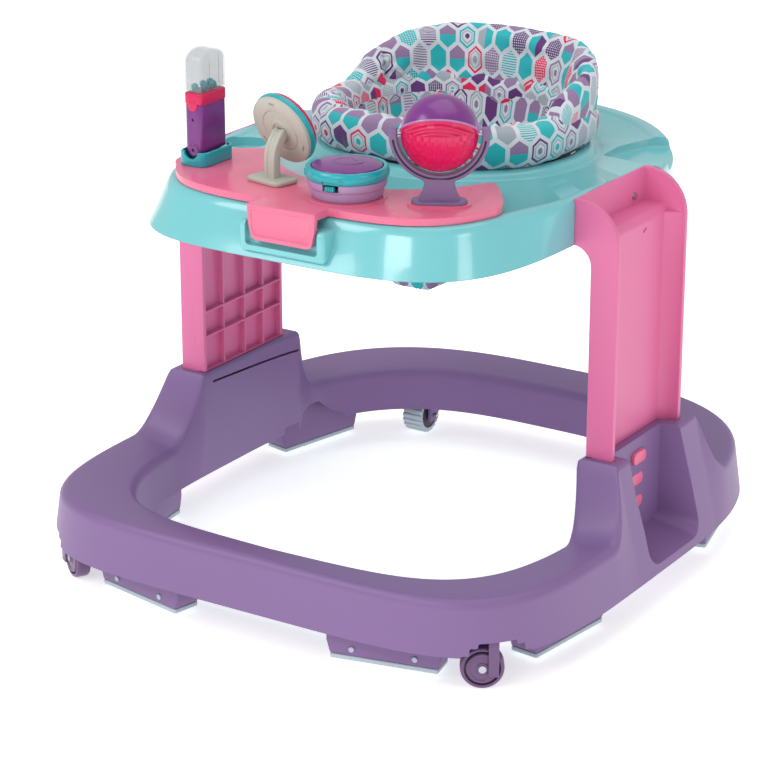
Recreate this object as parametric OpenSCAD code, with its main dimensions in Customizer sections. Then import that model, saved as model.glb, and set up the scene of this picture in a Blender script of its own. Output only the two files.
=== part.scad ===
// Baby walker: a wheeled ring base, two sliding side legs, a tray with a padded seat, and a toy tray.
// Origin: centre of the base on the floor. +Z up, -Y is the toy side (front), +X the right-hand side.

/* [Base ring] */
// Width of the base across its bottom edge
base_w = 656; // [620:2:700]
// Reach of the base in front of the origin
base_front = 361; // [340:1:390]
// Reach of the base behind the origin
base_back = 361; // [340:1:390]
// Height of the base's bottom edge above the floor
base_z = 42; // [40:1:44]
// Height of the crease along the outside of the rail
rail_top = 102; // [98:1:106]
// Height of the tower tops
tower_top = 173; // [170:1:178]
// Wall thickness of the large mouldings
wall = 3; // [2.4:0.1:4]

/* [Height adjustment] */
// Spacing between two height positions
height_step = 27; // [22:1:28]

/* [Tray] */
// Height of the tray's bottom edge
tray_z = 407; // [402:1:410]
// Height of the tray's deck
deck_z = 457; // [454:1:460]
// Half width of the hole for the seat
hole_a = 140; // [132:1:146]
// Half length of the hole for the seat
hole_b = 122; // [114:1:128]
// Distance of the seat's centre behind the origin
seat_y = 70; // [64:1:76]

/* [Wheels] */
// Diameter of the front caster wheels
caster_d = 46; // [44:1:46]
// Width of the front caster wheels
caster_w = 16; // [14:1:16]
// Diameter of the rear wheels
rear_d = 48; // [44:1:50]
// Width of the rear wheels' ribbed tread
rear_w = 27; // [22:1:30]

/* [Toys] */
// Diameter of the spinner ball
ball_d = 80; // [70:1:84]
// Diameter of the mirror disc
disc_d = 82; // [74:1:86]
// Diameter of the drum's ring
drum_d = 88; // [80:1:92]

/* [Hidden] */
PURPLE = "#8f76ab";
PINK = "#e07aa8";
AQUA = "#82cdd2";
TEAL = "#2dbec3";
ROSE = "#ee789b";
MAGENTA = "#e8105e";
PLUM = "#823c96";
LILAC = "#a890c0";
BEIGE = "#c8c6be";
PALE = "#bcc8d0";
STEEL = "#b8bcc0";
FABRIC = "#dfe4e6";
DARK = "#3c3c44";

half_w = base_w / 2;
drum_r = drum_d / 2;
ball_r = ball_d / 2;
disc_r = disc_d / 2;
fine = 48;
gap = 0.4;

// Plan of the base: superellipse half widths and powers, front and back, outside and inside
out_n = [5, 3];
in_n = [4, 3];
in_a = 256;
in_front = base_front - 66;
in_back = base_back - 74;
straight = 190;

// Tower: where its top starts and ends, how far its concave flanks run, and how its faces lean
tower_front = -81;
tower_back = 112;
flank = 50;
rail_lean = 7;
tower_lean = 31;
inner_drop = 8;

// Legs and their scoop in the towers
leg_front = -71;
leg_back = 90;
leg_out = 284;
leg_in = 252;
leg_bottom = tower_top - 76;
flange = 6;
arch_r = 48;
fillet_r = 22;
joint_x = 230;
web_x = 260;
ledge_z = deck_z - 38;
scoop_x = 270;
button_y = 10;
button_w = 29;
button_h = 14;
button_z = tower_top - 22;
rib_y = [-30, 12, 50];
rib_z = [214, 244, 330, 390];

// Casters and rear wheels
caster_x = 272;
caster_y = -298;
caster_yaw = -57.6;
caster_trail = 11.5;
socket_z = base_z + 12;
stem_r = 4;
axle_r = 2.5;
fit = 0.05;
rear_x = 180;
rear_y = 294;

// Friction pads: centre, turn, and name of each on the right-hand side
pad_len = 120;
pad_w = 34;
pad_z = 6;
strip_h = 5;
PADS = [["front", 155, -313, 12], ["side", 275, -168, 83], ["rear", 274, 183, 103]];

// Tray: half widths and lengths at its bottom edge, front and back
front_a = 226;
front_b = 288;
back_a = 266;
back_b = 318;
front_n = 4;
back_n = 2.1;
skirt_flare = 24;
back_flare = 6;

// Seat
roll_z = deck_z + 18;
back_top = deck_z + 112;
pad_a = 134;
pad_b = 117;
pad_n = 2.6;
sling_r = 112;
sling_z = 285;

// Toy tray and toys
toy_z = deck_z + gap;
toy_top = toy_z + 8;
crescent_a = 206;
crescent_b = 264;
crescent_in = 82;
pivot = [-164, -178];
pivot_r = 6;
mirror_at = [-57, -208];
mirror_yaw = -12;
disc_z = toy_top + 51;
disc_tilt = 22;
drum_at = [40, -212];
drum_yaw = 8;
ball_at = [138, -190];
ball_yaw = 28.6;
ball_z = toy_top + 76;
ball_axle_r = 3;
ball_wall = 2.5;
rattle_x = 24;
rattle_y = 50;
cup_h = 16;
rock_h = 9;
rock_r = 2.4;
collar_h = 70;
window_h = 79;
bead_r = 4;

// ---------------------------------------------------------------- functions

function mix(a, b, t) = a + (b - a) * t;
function clamp01(t) = min(1, max(0, t));
function smooth(t) = let (u = clamp01(t)) u * u * (3 - 2 * u);

// Half width of a superellipse at height y, and a point on it at parameter angle t
function half_at(a, b, n, y) = a * pow(max(0, 1 - pow(abs(y) / b, n)), 1 / n);
function on_oval(a, b, n, t) = [a * pow(abs(cos(t)), 2 / n), b * pow(abs(sin(t)), 2 / n)];
function angle_at(b, n, y) = asin(pow(abs(y) / b, n / 2));

// One plan point of the base ring at station s: -2 front centre, -1..1 the straight side, 2 back centre
function ring_point(s, a, bf, bb, n) =
    abs(s) <= 1
    ? let (y = s * straight) [half_at(a, y < 0 ? bf : bb, y < 0 ? n[0] : n[1], y), y]
    : let (k = s < 0 ? 0 : 1, b = k == 0 ? bf : bb,
           t = mix(angle_at(b, n[k], straight), 90, abs(s) - 1), p = on_oval(a, b, n[k], t))
      [p[0], s < 0 ? -p[1] : p[1]];

// 1 on a tower's top, 0 on the rail, falling along the concave flanks
function tower(s) = let (y = s * straight, u = min((y - tower_front + flank) / flank,
    (tower_back + flank - y) / flank)) abs(s) > 1 ? 0 : pow(clamp01(u), 2.4);

// Section of the base shell: across from the outside (0) to the inside (w), up from base_z
function ring_section(w, h, t) =
    let (top = mix(rail_top, tower_top, h) - t, low = top - inner_drop * (1 - h), kink = mix(60, 112, h),
         lo = mix(rail_lean, tower_lean, h), li = mix(4, -9, h), r = mix(9, 5, h) - t / 2)
    [[t, base_z], [t + lo * 0.9, top - r], [t + lo + r * 0.3, top - r * 0.3], [t + lo + r, top],
     [w - li - r - t, low], [w - li - r * 0.3 - t, low - r * 0.3], [w - li - t, low - r], [w - li - t, kink],
     [w - t, base_z]];

function ring_stations() = concat(
    [for (i = [0:9]) -2 + i / 10],
    [for (y = [-190, -170, -150, -131, -123, -115, -107, -100, -94, -88, -84, -81, -40, 0, 40, 80, 112,
        115, 119, 125, 131, 138, 146, 154, 162, 176]) y / 190],
    [for (i = [0:9]) 1 + i / 10], [2]);

// Closed loops of 3-D points for every station of the right half, then of the left half mirrored
function ring_loops(sections) = let (st = ring_stations(), half = [for (s = st)
    let (o = ring_point(s, half_w, base_front, base_back, out_n),
         i = ring_point(s, in_a, in_front, in_back, in_n), d = i - o, w = norm(d), u = d / w,
         h = tower(s), sec = sections(w, h))
    [for (q = sec) [o[0] + u[0] * q[0], o[1] + u[1] * q[0], q[1]]]])
    concat(half, [for (k = [len(half) - 2:-1:1]) [for (p = half[k]) [-p[0], p[1], p[2]]]]);

function shell_section(w, h) =
    concat(ring_section(w, h, 0), [for (i = [8:-1:0]) ring_section(w, h, wall)[i]]);
function solid_section(w, h) = ring_section(w, h, 0);

// A ring of closed loops joined end to end into one closed surface
module ring_body(loops) {
    n = len(loops);
    m = len(loops[0]);
    polyhedron([for (l = loops) each l], [for (i = [0:n - 1], j = [0:m - 1])
        [i * m + j, i * m + (j + 1) % m, ((i + 1) % n) * m + (j + 1) % m, ((i + 1) % n) * m + j]],
        convexity = 8);
}

// ---------------------------------------------------------------- helpers

module side(k) {
    if (k < 0) mirror([1, 0, 0]) children();
    else children();
}

module both() {
    children();
    mirror([1, 0, 0]) children();
}

module along_x(x0, x1, r, n = fine) {
    translate([x0, 0, 0]) rotate([0, 90, 0]) cylinder(h = x1 - x0, r = r, $fn = n);
}

module oblong(w, h, t, n = fine) {
    rotate([0, 90, 0]) linear_extrude(t) union() {
        square([h, w - h], center = true);
        for (k = [-1, 1]) translate([0, k * (w - h) / 2]) circle(h / 2, $fn = n);
    }
}

// ---------------------------------------------------------------- base

module scoop(grow, out) {
    hull() {
        translate([scoop_x + 3 - grow, -52 - grow, 62 - grow]) cube([1, 114 + 2 * grow, 130]);
        for (c = [[-28, 60 - grow], [52, 60 - grow]])
            translate([out, c[0], c[1] + 10]) rotate([0, 90, 0]) cylinder(h = 1, r = 22 + grow, $fn = 20);
        translate([out, -66 - grow, 172]) cube([1, 144 + 2 * grow, 20]);
    }
}

module leg_slot() {
    depth = leg_back - leg_front;
    translate([leg_in - 1, leg_front - 1, tower_top - 16]) cube([web_x + 4 - leg_in, depth + 2, 30]);
    for (y = [leg_front - 1, leg_back - flange - 1])
        translate([leg_in - 1, y, tower_top - 16]) cube([leg_out - leg_in + 2, flange + 2, 30]);
}

// Cut-out in the outer wall round a front caster
module caster_arch() {
    translate([282, -308, base_z - 1]) rotate(45) hull() {
        translate([-39, -30, 0]) cube([78, 44, 0.1]);
        for (x = [-17, 17]) translate([x, 14, 10]) rotate([90, 0, 0]) cylinder(h = 44, r = 7, $fn = 20);
    }
}

module base_frame() {
    color(PURPLE) resize([0, 0, 0]) difference() {
        union() {
            ring_body(ring_loops(function (w, h) shell_section(w, h)));
            both() intersection() {
                ring_body(ring_loops(function (w, h) solid_section(w, h)));
                union() {
                    scoop(wall, half_w + 10);
                    translate([caster_x - 15, caster_y - 15, socket_z + 6]) cube([30, 30, 60]);
                    for (x = [-1, 1])
                        translate([rear_x + x * 24 - 3, rear_y - 22, base_z + 22]) cube([6, 44, 60]);
                }
            }
        }
        both() {
            scoop(0, half_w + 10);
            leg_slot();
            caster_arch();
            translate([caster_x, caster_y, socket_z - 1]) cylinder(h = 32, r = 9.3, $fn = 24);
            for (k = [0:2]) translate([scoop_x - 5, button_y, button_z - k * height_step])
                oblong(button_w + 0.8, button_h + 0.8, 12, 16);
        }
    }
}

// Steel sockets in the front corners that the caster stems turn in
module caster_sockets() {
    color(STEEL) both() translate([caster_x, caster_y, socket_z]) difference() {
        cylinder(h = 30, r = 9, $fn = fine);
        translate([0, 0, -1]) cylinder(h = 29, r = stem_r + fit, $fn = fine);
    }
}

module at_caster(k) {
    side(k) translate([caster_x, caster_y, 0]) rotate(caster_yaw) children();
}

module at_caster_wheel(k) {
    at_caster(k) translate([0, -caster_trail, caster_d / 2]) children();
}

// Fork: stem, bridge over the wheel, strap down its outer side, and a disc that carries the axle
module caster_fork(k) {
    face = caster_w / 2;
    color(PURPLE) difference() {
        union() {
            at_caster(k) {
                translate([0, 0, caster_d + 2]) cylinder(h = 34, r = stem_r, $fn = fine);
                translate([-5, -5, caster_d + 1.5]) cube([face + 10, 10, 4]);
                translate([face + 1, -5, caster_d / 2 - 4]) cube([4, 10, caster_d / 2 + 9]);
            }
            at_caster_wheel(k) along_x(face - 4, face + 1.5, caster_d / 2 - 6);
        }
        at_caster_wheel(k) along_x(face - 8, face + 8, axle_r + fit);
    }
}

// Wheel with a deep recess on the fork's side
module caster_wheel(k) {
    face = caster_w / 2;
    color(PURPLE) at_caster_wheel(k) difference() {
        along_x(-face, face, caster_d / 2);
        along_x(face - 5, face + 1, caster_d / 2 - 4);
        along_x(-face - 1, -face + 2, caster_d / 2 - 6);
        along_x(-face - 1, face + 1, axle_r + fit);
    }
}

module caster_axle(k) {
    face = caster_w / 2;
    color(STEEL) at_caster_wheel(k) {
        along_x(-face - 1, face + 1.5, axle_r);
        along_x(face + 1.5, face + 3, 4);
        along_x(-face - 3, -face - 1, 4);
    }
}

module at_rear(k) {
    translate([k * rear_x, rear_y, rear_d / 2]) children();
}

// Rear wheel with a ribbed tread: raised ribs along the axle
module rear_wheel(k) {
    color(PALE) at_rear(k) difference() {
        union() {
            along_x(-rear_w / 2, rear_w / 2, rear_d / 2 - 1.5);
            for (a = [0:20:340]) rotate([a, 0, 0])
                translate([-rear_w / 2, -1.6, rear_d / 2 - 3]) cube([rear_w, 3.2, 3]);
        }
        along_x(-rear_w / 2 - 1, rear_w / 2 + 1, axle_r + fit);
        for (x = [-rear_w / 2 - 1, rear_w / 2 - 5]) along_x(x, x + 6, rear_d / 2 - 6);
        along_x(-rear_w / 2 - 1, rear_w / 2 + 1, axle_r + fit);
    }
}

module rear_axles() {
    color(STEEL) for (k = [-1, 1]) at_rear(k) along_x(-24, 24, axle_r);
}

// Brackets under the back rail that hold the rear axles
module rear_brackets() {
    color(PURPLE) for (k = [-1, 1]) at_rear(k) difference() {
        union() {
            for (x = [-20, 16]) translate([x, -9, -7]) cube([4, 18, 38]);
            translate([-20, -9, 28]) cube([40, 18, 3]);
        }
        along_x(-30, 30, axle_r + fit);
    }
}

module at_pad(p, k) {
    side(k) translate([p[1], p[2], 0]) rotate(p[3]) children();
}

module pad_side(inset) {
    x = pad_len / 2 - inset;
    bottom = pad_z + strip_h + inset;
    top = base_z + 30 + inset;
    polygon([[-x, bottom], [x, bottom], [x + 4, 26], [x + 4, top], [-x - 4, top], [-x - 4, 26]]);
}

// Hollow block, open at its top inside the base
module pad_block(p, k) {
    color(PURPLE) at_pad(p, k) translate([0, pad_w / 2, 0]) rotate([90, 0, 0]) difference() {
        linear_extrude(pad_w) pad_side(0);
        translate([0, 0, wall]) linear_extrude(pad_w - 2 * wall) pad_side(wall);
    }
}

// Soft strips under the blocks that grip the floor when a wheel drops off an edge
module grip_strips() {
    color(PALE) for (p = PADS, k = [-1, 1]) at_pad(p, k)
        translate([-pad_len / 2, -pad_w / 2, pad_z]) cube([pad_len, pad_w, strip_h]);
}

// Pegs that hold each strip to its block
module pad_pegs() {
    color(PALE) for (p = PADS, k = [-1, 1], x = [-35, 35]) at_pad(p, k)
        translate([x, -pad_w / 2, pad_z + strip_h + 8])
            rotate([90, 0, 0]) cylinder(h = 1.5, r = 3, $fn = fine);
}

// ---------------------------------------------------------------- legs and height lock

module arch_profile(x0) {
    difference() {
        union() {
            translate([x0, leg_bottom]) square([leg_out - x0, deck_z - arch_r - leg_bottom]);
            translate([joint_x, tray_z - fillet_r])
                square([leg_out - arch_r - joint_x, deck_z - tray_z + fillet_r]);
            intersection() {
                translate([leg_out - arch_r, deck_z - arch_r]) circle(arch_r, $fn = 96);
                translate([leg_out - arch_r - 1, deck_z - arch_r - 1]) square(arch_r + 2);
            }
            translate([leg_in - 20, tray_z - fillet_r]) square([20, fillet_r + 4]);
        }
        translate([joint_x, tray_z - fillet_r]) circle(fillet_r, $fn = 64);
        translate([joint_x - 60, 0]) square([leg_in - joint_x + 60, tray_z - fillet_r]);
        translate([leg_in - 5, 0]) square([web_x - leg_in + 5, tower_top]);
    }
}

module across(y0, y1) {
    translate([0, y1, 0]) rotate([90, 0, 0]) linear_extrude(y1 - y0) children();
}

// Side leg: two flanges joined by a recessed web, ribbed inside, arching over to the tray
module leg(k) {
    rib = 2;
    rib_w = web_x - leg_in + 1;
    color(PINK) side(k) difference() {
        union() {
            across(leg_front, leg_front + flange) arch_profile(leg_in);
            across(leg_back - flange, leg_back) arch_profile(leg_in);
            across(leg_front + 1, leg_back - 1) {
                translate([web_x, leg_bottom]) square([3, ledge_z - leg_bottom]);
                translate([joint_x, ledge_z - 3]) square([web_x + 3 - joint_x, 3]);
                translate([joint_x, tray_z]) square([3, deck_z - tray_z - 1]);
            }
            for (y = rib_y) across(y, y + rib)
                translate([leg_in, tower_top]) square([rib_w, ledge_z - tower_top]);
            for (z = rib_z)
                translate([leg_in, leg_front + 1, z]) cube([rib_w, leg_back - leg_front - 2, rib]);
        }
        translate([0, button_y, button_z]) translate([web_x - 2, 0, 0]) oblong(18, 9, 8);
        translate([web_x - 2, 30, ledge_z - 14]) rotate([0, 90, 0]) cylinder(h = 8, r = 2.2, $fn = fine);
        for (y = [-40, 60]) translate([joint_x - 1, y, tray_z + 22]) along_x(0, 6, 2.2);
    }
}

// Latches inside the legs, drawn with their tongues pulled back so that the legs are free to slide
module height_latches() {
    color(DARK) both() {
        translate([web_x - 5, button_y - 16, button_z - 10]) cube([4.6, 32, 20]);
        translate([web_x - 1, button_y, button_z]) oblong(17, 8, 4);
    }
}

// A button in a tower's window: a cap through the wall and a wider plate behind it
module height_button(k, row) {
    proud = row == 0 ? 4 : 0.6;
    color(ROSE) side(k) translate([scoop_x, button_y, button_z - row * height_step]) {
        translate([-2, 0, 0]) oblong(button_w + 5, button_h + 4, 1.6);
        translate([-1, 0, 0]) oblong(button_w, button_h, 1 + wall + proud);
    }
}

// Screws that fix the legs to the tray
module leg_screws() {
    color(STEEL) both() for (y = [-40, 60]) translate([joint_x - 14, y, tray_z + 22]) {
        along_x(0, 14 + 3, 2);
        along_x(17, 19.5, 4);
    }
}

// ---------------------------------------------------------------- tray and seat

// Half width of the tray's bottom edge at y
function tray_half(y) =
    mix(half_at(front_a, front_b, front_n, min(y, 0)), half_at(back_a, back_b, back_n, max(y, 0)),
    smooth((y + 60) / 140));

function tray_point(s) = let (span = 150)
    abs(s) <= 1 ? [tray_half(s * span), s * span]
    : let (b = s < 0 ? front_b : back_b, n = s < 0 ? front_n : back_n, a = s < 0 ? front_a : back_a,
           p = on_oval(a, b, n, mix(angle_at(b, n, span), 90, abs(s) - 1))) [p[0], s < 0 ? -p[1] : p[1]];

function hole_point(s) = let (t = s * 45) [hole_a * cos(t), seat_y + hole_b * sin(t)];

// Section of the tray: skirt flaring out to its bottom edge, flat deck, raised ring and lip at the seat hole
function tray_section(w, f, t) = let (top = deck_z - t)
    [[t, tray_z - (t > 0 ? 1 : 0)], [f * 0.8 + t, top - 12], [f * 0.94 + t, top - 3.5], [f + 4, top],
     [w - 34, top],
     [w - 28, top + 3], [w - 10, top + 3], [w - 3 - t, top], [w - 3 - t, deck_z - 22 - (t > 0 ? 1 : 0)]];

function tray_flare(y) = y < 0 ? skirt_flare * smooth((leg_front - y) / 120) : back_flare;

function tray_loops(t) = let (half = [for (i = [-20:20])
    let (s = i / 10, o = tray_point(s), q = hole_point(s),
    d = q - o, w = norm(d), u = d / w)
    [for (c = tray_section(w, tray_flare(o[1]), t)) [o[0] + u[0] * c[0], o[1] + u[1] * c[0], c[1]]]])
    concat(half, [for (k = [len(half) - 2:-1:1]) [for (p = half[k]) [-p[0], p[1], p[2]]]]);

module tray() {
    color(AQUA) resize([0, 0, 0]) union() {
        difference() {
            ring_body(tray_loops(0));
            ring_body(tray_loops(wall));
            both() {
                translate([joint_x - gap, leg_front - gap, tray_z - 10])
                    cube([90, leg_back - leg_front + 2 * gap, 80]);
                for (y = [-40, 60]) translate([joint_x - 16, y, tray_z + 22]) rotate([0, 90, 0])
                    cylinder(h = 20, r = 2.4, $fn = 16);
            }
            translate([pivot[0], pivot[1], tray_z]) cylinder(h = 90, r = pivot_r + 0.3, $fn = 24);
        }
        intersection() {
            difference() {
                ring_body(tray_loops(0));
                both() for (y = [-40, 60]) translate([joint_x - 16, y, tray_z + 22]) rotate([0, 90, 0])
                    cylinder(h = 20, r = 2.4, $fn = 16);
            }
            both() {
                translate([joint_x - gap - wall, leg_front, tray_z])
                    cube([wall, leg_back - leg_front + 2, 60]);
                translate([joint_x - wall, leg_back + gap, tray_z]) cube([60, wall, 60]);
            }
        }
    }
}

// A closed oval ring with a constant section, given as [outward, up] points
module oval_ring(a, b, section, steps = 48) {
    ring_body([for (i = [0:steps - 1]) let (t = i * 360 / steps)
        [for (c = section) [(a + c[0]) * cos(t), seat_y + (b + c[0]) * sin(t), c[1]]]]);
}

function round_section(x, z, rx, rz, n) =
    [for (i = [0:n - 1]) [x + rx * cos(i * 360 / n), z + rz * sin(i * 360 / n)]];

// Rigid ring under the padding, resting on the tray
module seat_ring() {
    color(DARK) oval_ring(hole_a, hole_b, [[7, deck_z + 4], [7, deck_z + 8], [-8, deck_z + 8],
        [-8, deck_z - 20],
        [-5, deck_z - 20], [-5, deck_z + 4]]);
}

// A point of the padding at angle t, off outward from the middle line of the roll
function pad_point(t, off) = let (p = on_oval(pad_a + off, pad_b + off, pad_n, t))
    [cos(t) < 0 ? -p[0] : p[0], seat_y + (sin(t) < 0 ? -p[1] : p[1])];

// Padded roll round the seat
module seat_rim_pad() {
    steps = 48;
    section = round_section(0, roll_z + 12, 23, 21, 14);
    color(FABRIC) ring_body([for (i = [0:steps - 1])
        [for (c = section) let (p = pad_point(i * 360 / steps, c[0])) [p[0], p[1], c[1]]]]);
}

// Padded back: an arc round the rear of the seat that rises to its top at the middle
module seat_back_pad() {
    steps = 20;
    loops = [for (i = [0:steps])
        let (t = mix(0, 180, i / steps), rise = pow(sin(mix(10, 170, i / steps)), 0.6),
             top = mix(roll_z + 38, back_top, rise),
             section = [[10, roll_z + 34], [14, top - 7], [8, top], [-8, top], [-15, top - 8],
                 [-14, roll_z + 34]])
        [for (c = section) let (p = pad_point(t, c[0])) [p[0], p[1], c[1]]]];
    m = len(loops[0]);
    color(FABRIC) polyhedron([for (l = loops) each l], concat(
        [for (i = [0:steps - 1], j = [0:m - 1])
            [i * m + j, i * m + (j + 1) % m, (i + 1) * m + (j + 1) % m, (i + 1) * m + j]],
        [[for (j = [m - 1:-1:0]) j]], [[for (j = [0:m - 1]) steps * m + j]]), convexity = 6);
}

// Solid between a round at the ring and smaller rounds further down and forward
module bag(inset, rise) {
    levels = [[sling_r, seat_y, deck_z - 24], [100, 60, 380], [60, 15, 310], [28, 0, sling_z]];
    hull() for (l = levels) translate([0, l[1], l[2] + rise]) cylinder(h = 1, r = l[0] - inset, $fn = fine);
}

// Fabric bag with two leg holes in front, hanging from the ring
module seat_sling() {
    color(FABRIC) difference() {
        bag(0, 0);
        bag(4, 4);
        for (x = [-48, 48]) translate([x, 10, 345]) rotate([90, 0, 0]) cylinder(h = 110, r = 32, $fn = fine);
    }
}

// ---------------------------------------------------------------- toy tray

module crescent(inset, h) {
    outer = [for (t = [-164:4:-22]) let (p = on_oval(crescent_a - inset, crescent_b - inset, front_n, abs(t)))
        [t < -90 ? -p[0] : p[0], -p[1]]];
    inner = [for (t = [-24:-6:-150]) [(crescent_a - crescent_in + 30 + inset) * cos(t) + 4,
        (crescent_b - crescent_in + inset) * sin(t) ]];
    linear_extrude(h) polygon(concat(outer, inner));
}

// Crescent panel that carries the toys, with a lobe round its pivot and a flap over the skirt
module toy_tray() {
    color(ROSE) difference() {
        union() {
            translate([0, 0, toy_z]) {
                crescent(0, toy_top - toy_z);
                translate([pivot[0], pivot[1], 0]) cylinder(h = toy_top - toy_z, r = 34, $fn = fine);
            }
            translate([-28, -crescent_b - 26, toy_z - 30]) cube([76, 5, 34]);
            translate([-28, -crescent_b - 26, toy_z]) cube([76, 40, toy_top - toy_z]);
        }
        translate([pivot[0], pivot[1], toy_z - 1]) cylinder(h = 5, r = pivot_r + fit, $fn = fine);
    }
}

// Post fixed in the tray that the toy tray swings on
module pivot_post() {
    color(STEEL) translate([pivot[0], pivot[1], deck_z - 22]) {
        cylinder(h = 22 + gap + 3.6, r = pivot_r, $fn = fine);
        cylinder(h = 4, r = pivot_r + 5, $fn = fine);
    }
}

// ---------------------------------------------------------------- rattle

module at_rattle(z) {
    translate([pivot[0], pivot[1], z]) children();
}

module rounded_box(x, y, z, r, n = 24) {
    linear_extrude(z) union() {
        square([x - 2 * r, y], center = true);
        square([x, y - 2 * r], center = true);
        for (i = [-1, 1], j = [-1, 1]) translate([i * (x / 2 - r), j * (y / 2 - r)]) circle(r, $fn = n);
    }
}

// Cup with an axle across it that the rattle rocks on
module rattle_cup() {
    color(TEAL) at_rattle(toy_top) union() {
        difference() {
            rounded_box(rattle_x + 12, rattle_y + 8, cup_h, 10);
            translate([0, 0, wall]) rounded_box(rattle_x + 7, rattle_y + 2, cup_h, 7);
        }
        translate([0, 0, rock_h]) along_x(-rattle_x / 2 - 4, rattle_x / 2 + 4, rock_r);
    }
}

module rattle_body() {
    color(PLUM) at_rattle(toy_top) difference() {
        union() {
            translate([0, 0, cup_h - 2]) rounded_box(rattle_x, rattle_y - 4, collar_h - cup_h + 2, 6);
            translate([0, 0, rock_h]) along_x(-rattle_x / 2, rattle_x / 2, rock_r + 3);
            translate([-rattle_x / 2, -rock_r - 3, rock_h]) cube([rattle_x, 2 * rock_r + 6, cup_h - rock_h]);
        }
        translate([0, 0, rock_h]) along_x(-rattle_x, rattle_x, rock_r + fit);
    }
}

module rattle_collar() {
    color(MAGENTA) at_rattle(toy_top + collar_h)
        rounded_box(rattle_x + 1, rattle_y - 3, window_h - collar_h, 6);
}

// Clear box with beads in it
module rattle_window() {
    color([0.85, 0.9, 0.92, 0.4]) at_rattle(toy_top + window_h) difference() {
        rounded_box(rattle_x, rattle_y - 4, 47, 7);
        translate([0, 0, 1]) rounded_box(rattle_x - 4, rattle_y - 8, 43.5, 5);
    }
}

module rattle_beads() {
    color(TEAL) at_rattle(toy_top + window_h + bead_r + 1.2)
        for (p = [[-4, -13], [4, -6], [-4, 2], [4, 9], [-4, 15]])
        translate([p[0], p[1], 0]) sphere(bead_r, $fn = 24);
}

// ---------------------------------------------------------------- mirror

module at_mirror() {
    translate([mirror_at[0], mirror_at[1] + 16, disc_z]) rotate([-90 + disc_tilt, 0, mirror_yaw]) children();
}

// Foot plate, column and bent neck
module mirror_arm() {
    color(BEIGE) union() {
        translate([mirror_at[0], mirror_at[1], toy_top]) rotate(mirror_yaw) {
            rounded_box(50, 34, 3, 8);
            rounded_box(15, 10, disc_z - toy_top - 12, 3);
            translate([-7.5, -5, disc_z - toy_top - 20]) rotate([-38, 0, 0]) cube([15, 10, 16]);
        }
    }
}

module mirror_plate() {
    color(BEIGE) at_mirror() difference() {
        cylinder(h = 4, r = disc_r - 1, $fn = 96);
        translate([0, 0, -1]) cylinder(h = 6, r = 3, $fn = fine);
    }
}

module mirror_rim() {
    color(TEAL) at_mirror() translate([0, 0, 4]) difference() {
        cylinder(h = 7, r = disc_r, $fn = 96);
        translate([0, 0, -1]) cylinder(h = 9, r = 3, $fn = fine);
    }
}

// Ring with a mirror face that spins in front of the rim on a short hub
module mirror_spinner() {
    color(MAGENTA) at_mirror() union() {
        translate([0, 0, 11.4]) cylinder(h = 5, r = disc_r - 3, $fn = 96);
        translate([0, 0, 0.5]) cylinder(h = 12, r = 3 - fit, $fn = fine);
    }
}

// ---------------------------------------------------------------- drum

module at_drum(z = 0) {
    translate([drum_at[0], drum_at[1], toy_top + z]) rotate(drum_yaw) children();
}

module drum_bowl() {
    color(LILAC) at_drum() difference() {
        rotate_extrude($fn = 96) polygon([[0, 0], [drum_r - 9, 0], [drum_r - 6, 4], [drum_r - 5, 12],
            [drum_r - 3, 13],
            [drum_r - 2, 21], [0, 21]]);
        translate([0, 0, 2.5]) cylinder(h = 30, r = drum_r - 12, $fn = 96);
        translate([-9, -drum_r - 1, 14]) cube([18, 14, 8]);
    }
}

module drum_ring() {
    color(TEAL) at_drum(21) difference() {
        rotate_extrude($fn = 96) polygon([[drum_r - 12, 0], [drum_r - 1, 0], [drum_r, 3], [drum_r, 9],
            [drum_r - 1.5, 12],
            [drum_r - 6, 13], [drum_r - 6, 4], [drum_r - 12, 4]]);
        translate([-9, -drum_r - 1, -1]) cube([18, 4, 5]);
    }
}

// Domed key with a raised swirl; it presses down into the ring
module drum_key() {
    color(PLUM) at_drum(29) union() {
        rotate_extrude($fn = 96)
            polygon([[0, 0], [drum_r - 6.6, 0], [drum_r - 6.6, 4.5], [drum_r - 14, 7], [0, 9.5]]);
        translate([0, 0, 7]) linear_extrude(3.6) difference() {
            circle(11, $fn = fine);
            circle(8.6, $fn = fine);
            translate([0, -12]) square([14, 12]);
        }
    }
}

module drum_switch() {
    color(TEAL) at_drum(15) {
        translate([-3.2, -drum_r + 0.4, 0]) cube([6.4, 3.6, 5]);
        translate([-5, -drum_r + 4, -0.6]) cube([10, 2, 5.8]);
    }
}

module drum_board() {
    color("darkgreen") at_drum(18) cylinder(h = 1.6, r = 28, $fn = fine);
}

module drum_speaker() {
    color(DARK) at_drum(3) translate([14, 8, 0]) cylinder(h = 6, r = 14, $fn = fine);
}

module drum_batteries() {
    color(STEEL) at_drum(8.5) for (cell = [[-16, 20], [-1, -1]])
        translate([0, cell[0], 0]) along_x(-23.6, cell[1], 5);
}

// ---------------------------------------------------------------- spinner ball

module at_ball() {
    translate([ball_at[0], ball_at[1], ball_z]) rotate(ball_yaw) children();
}

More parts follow.
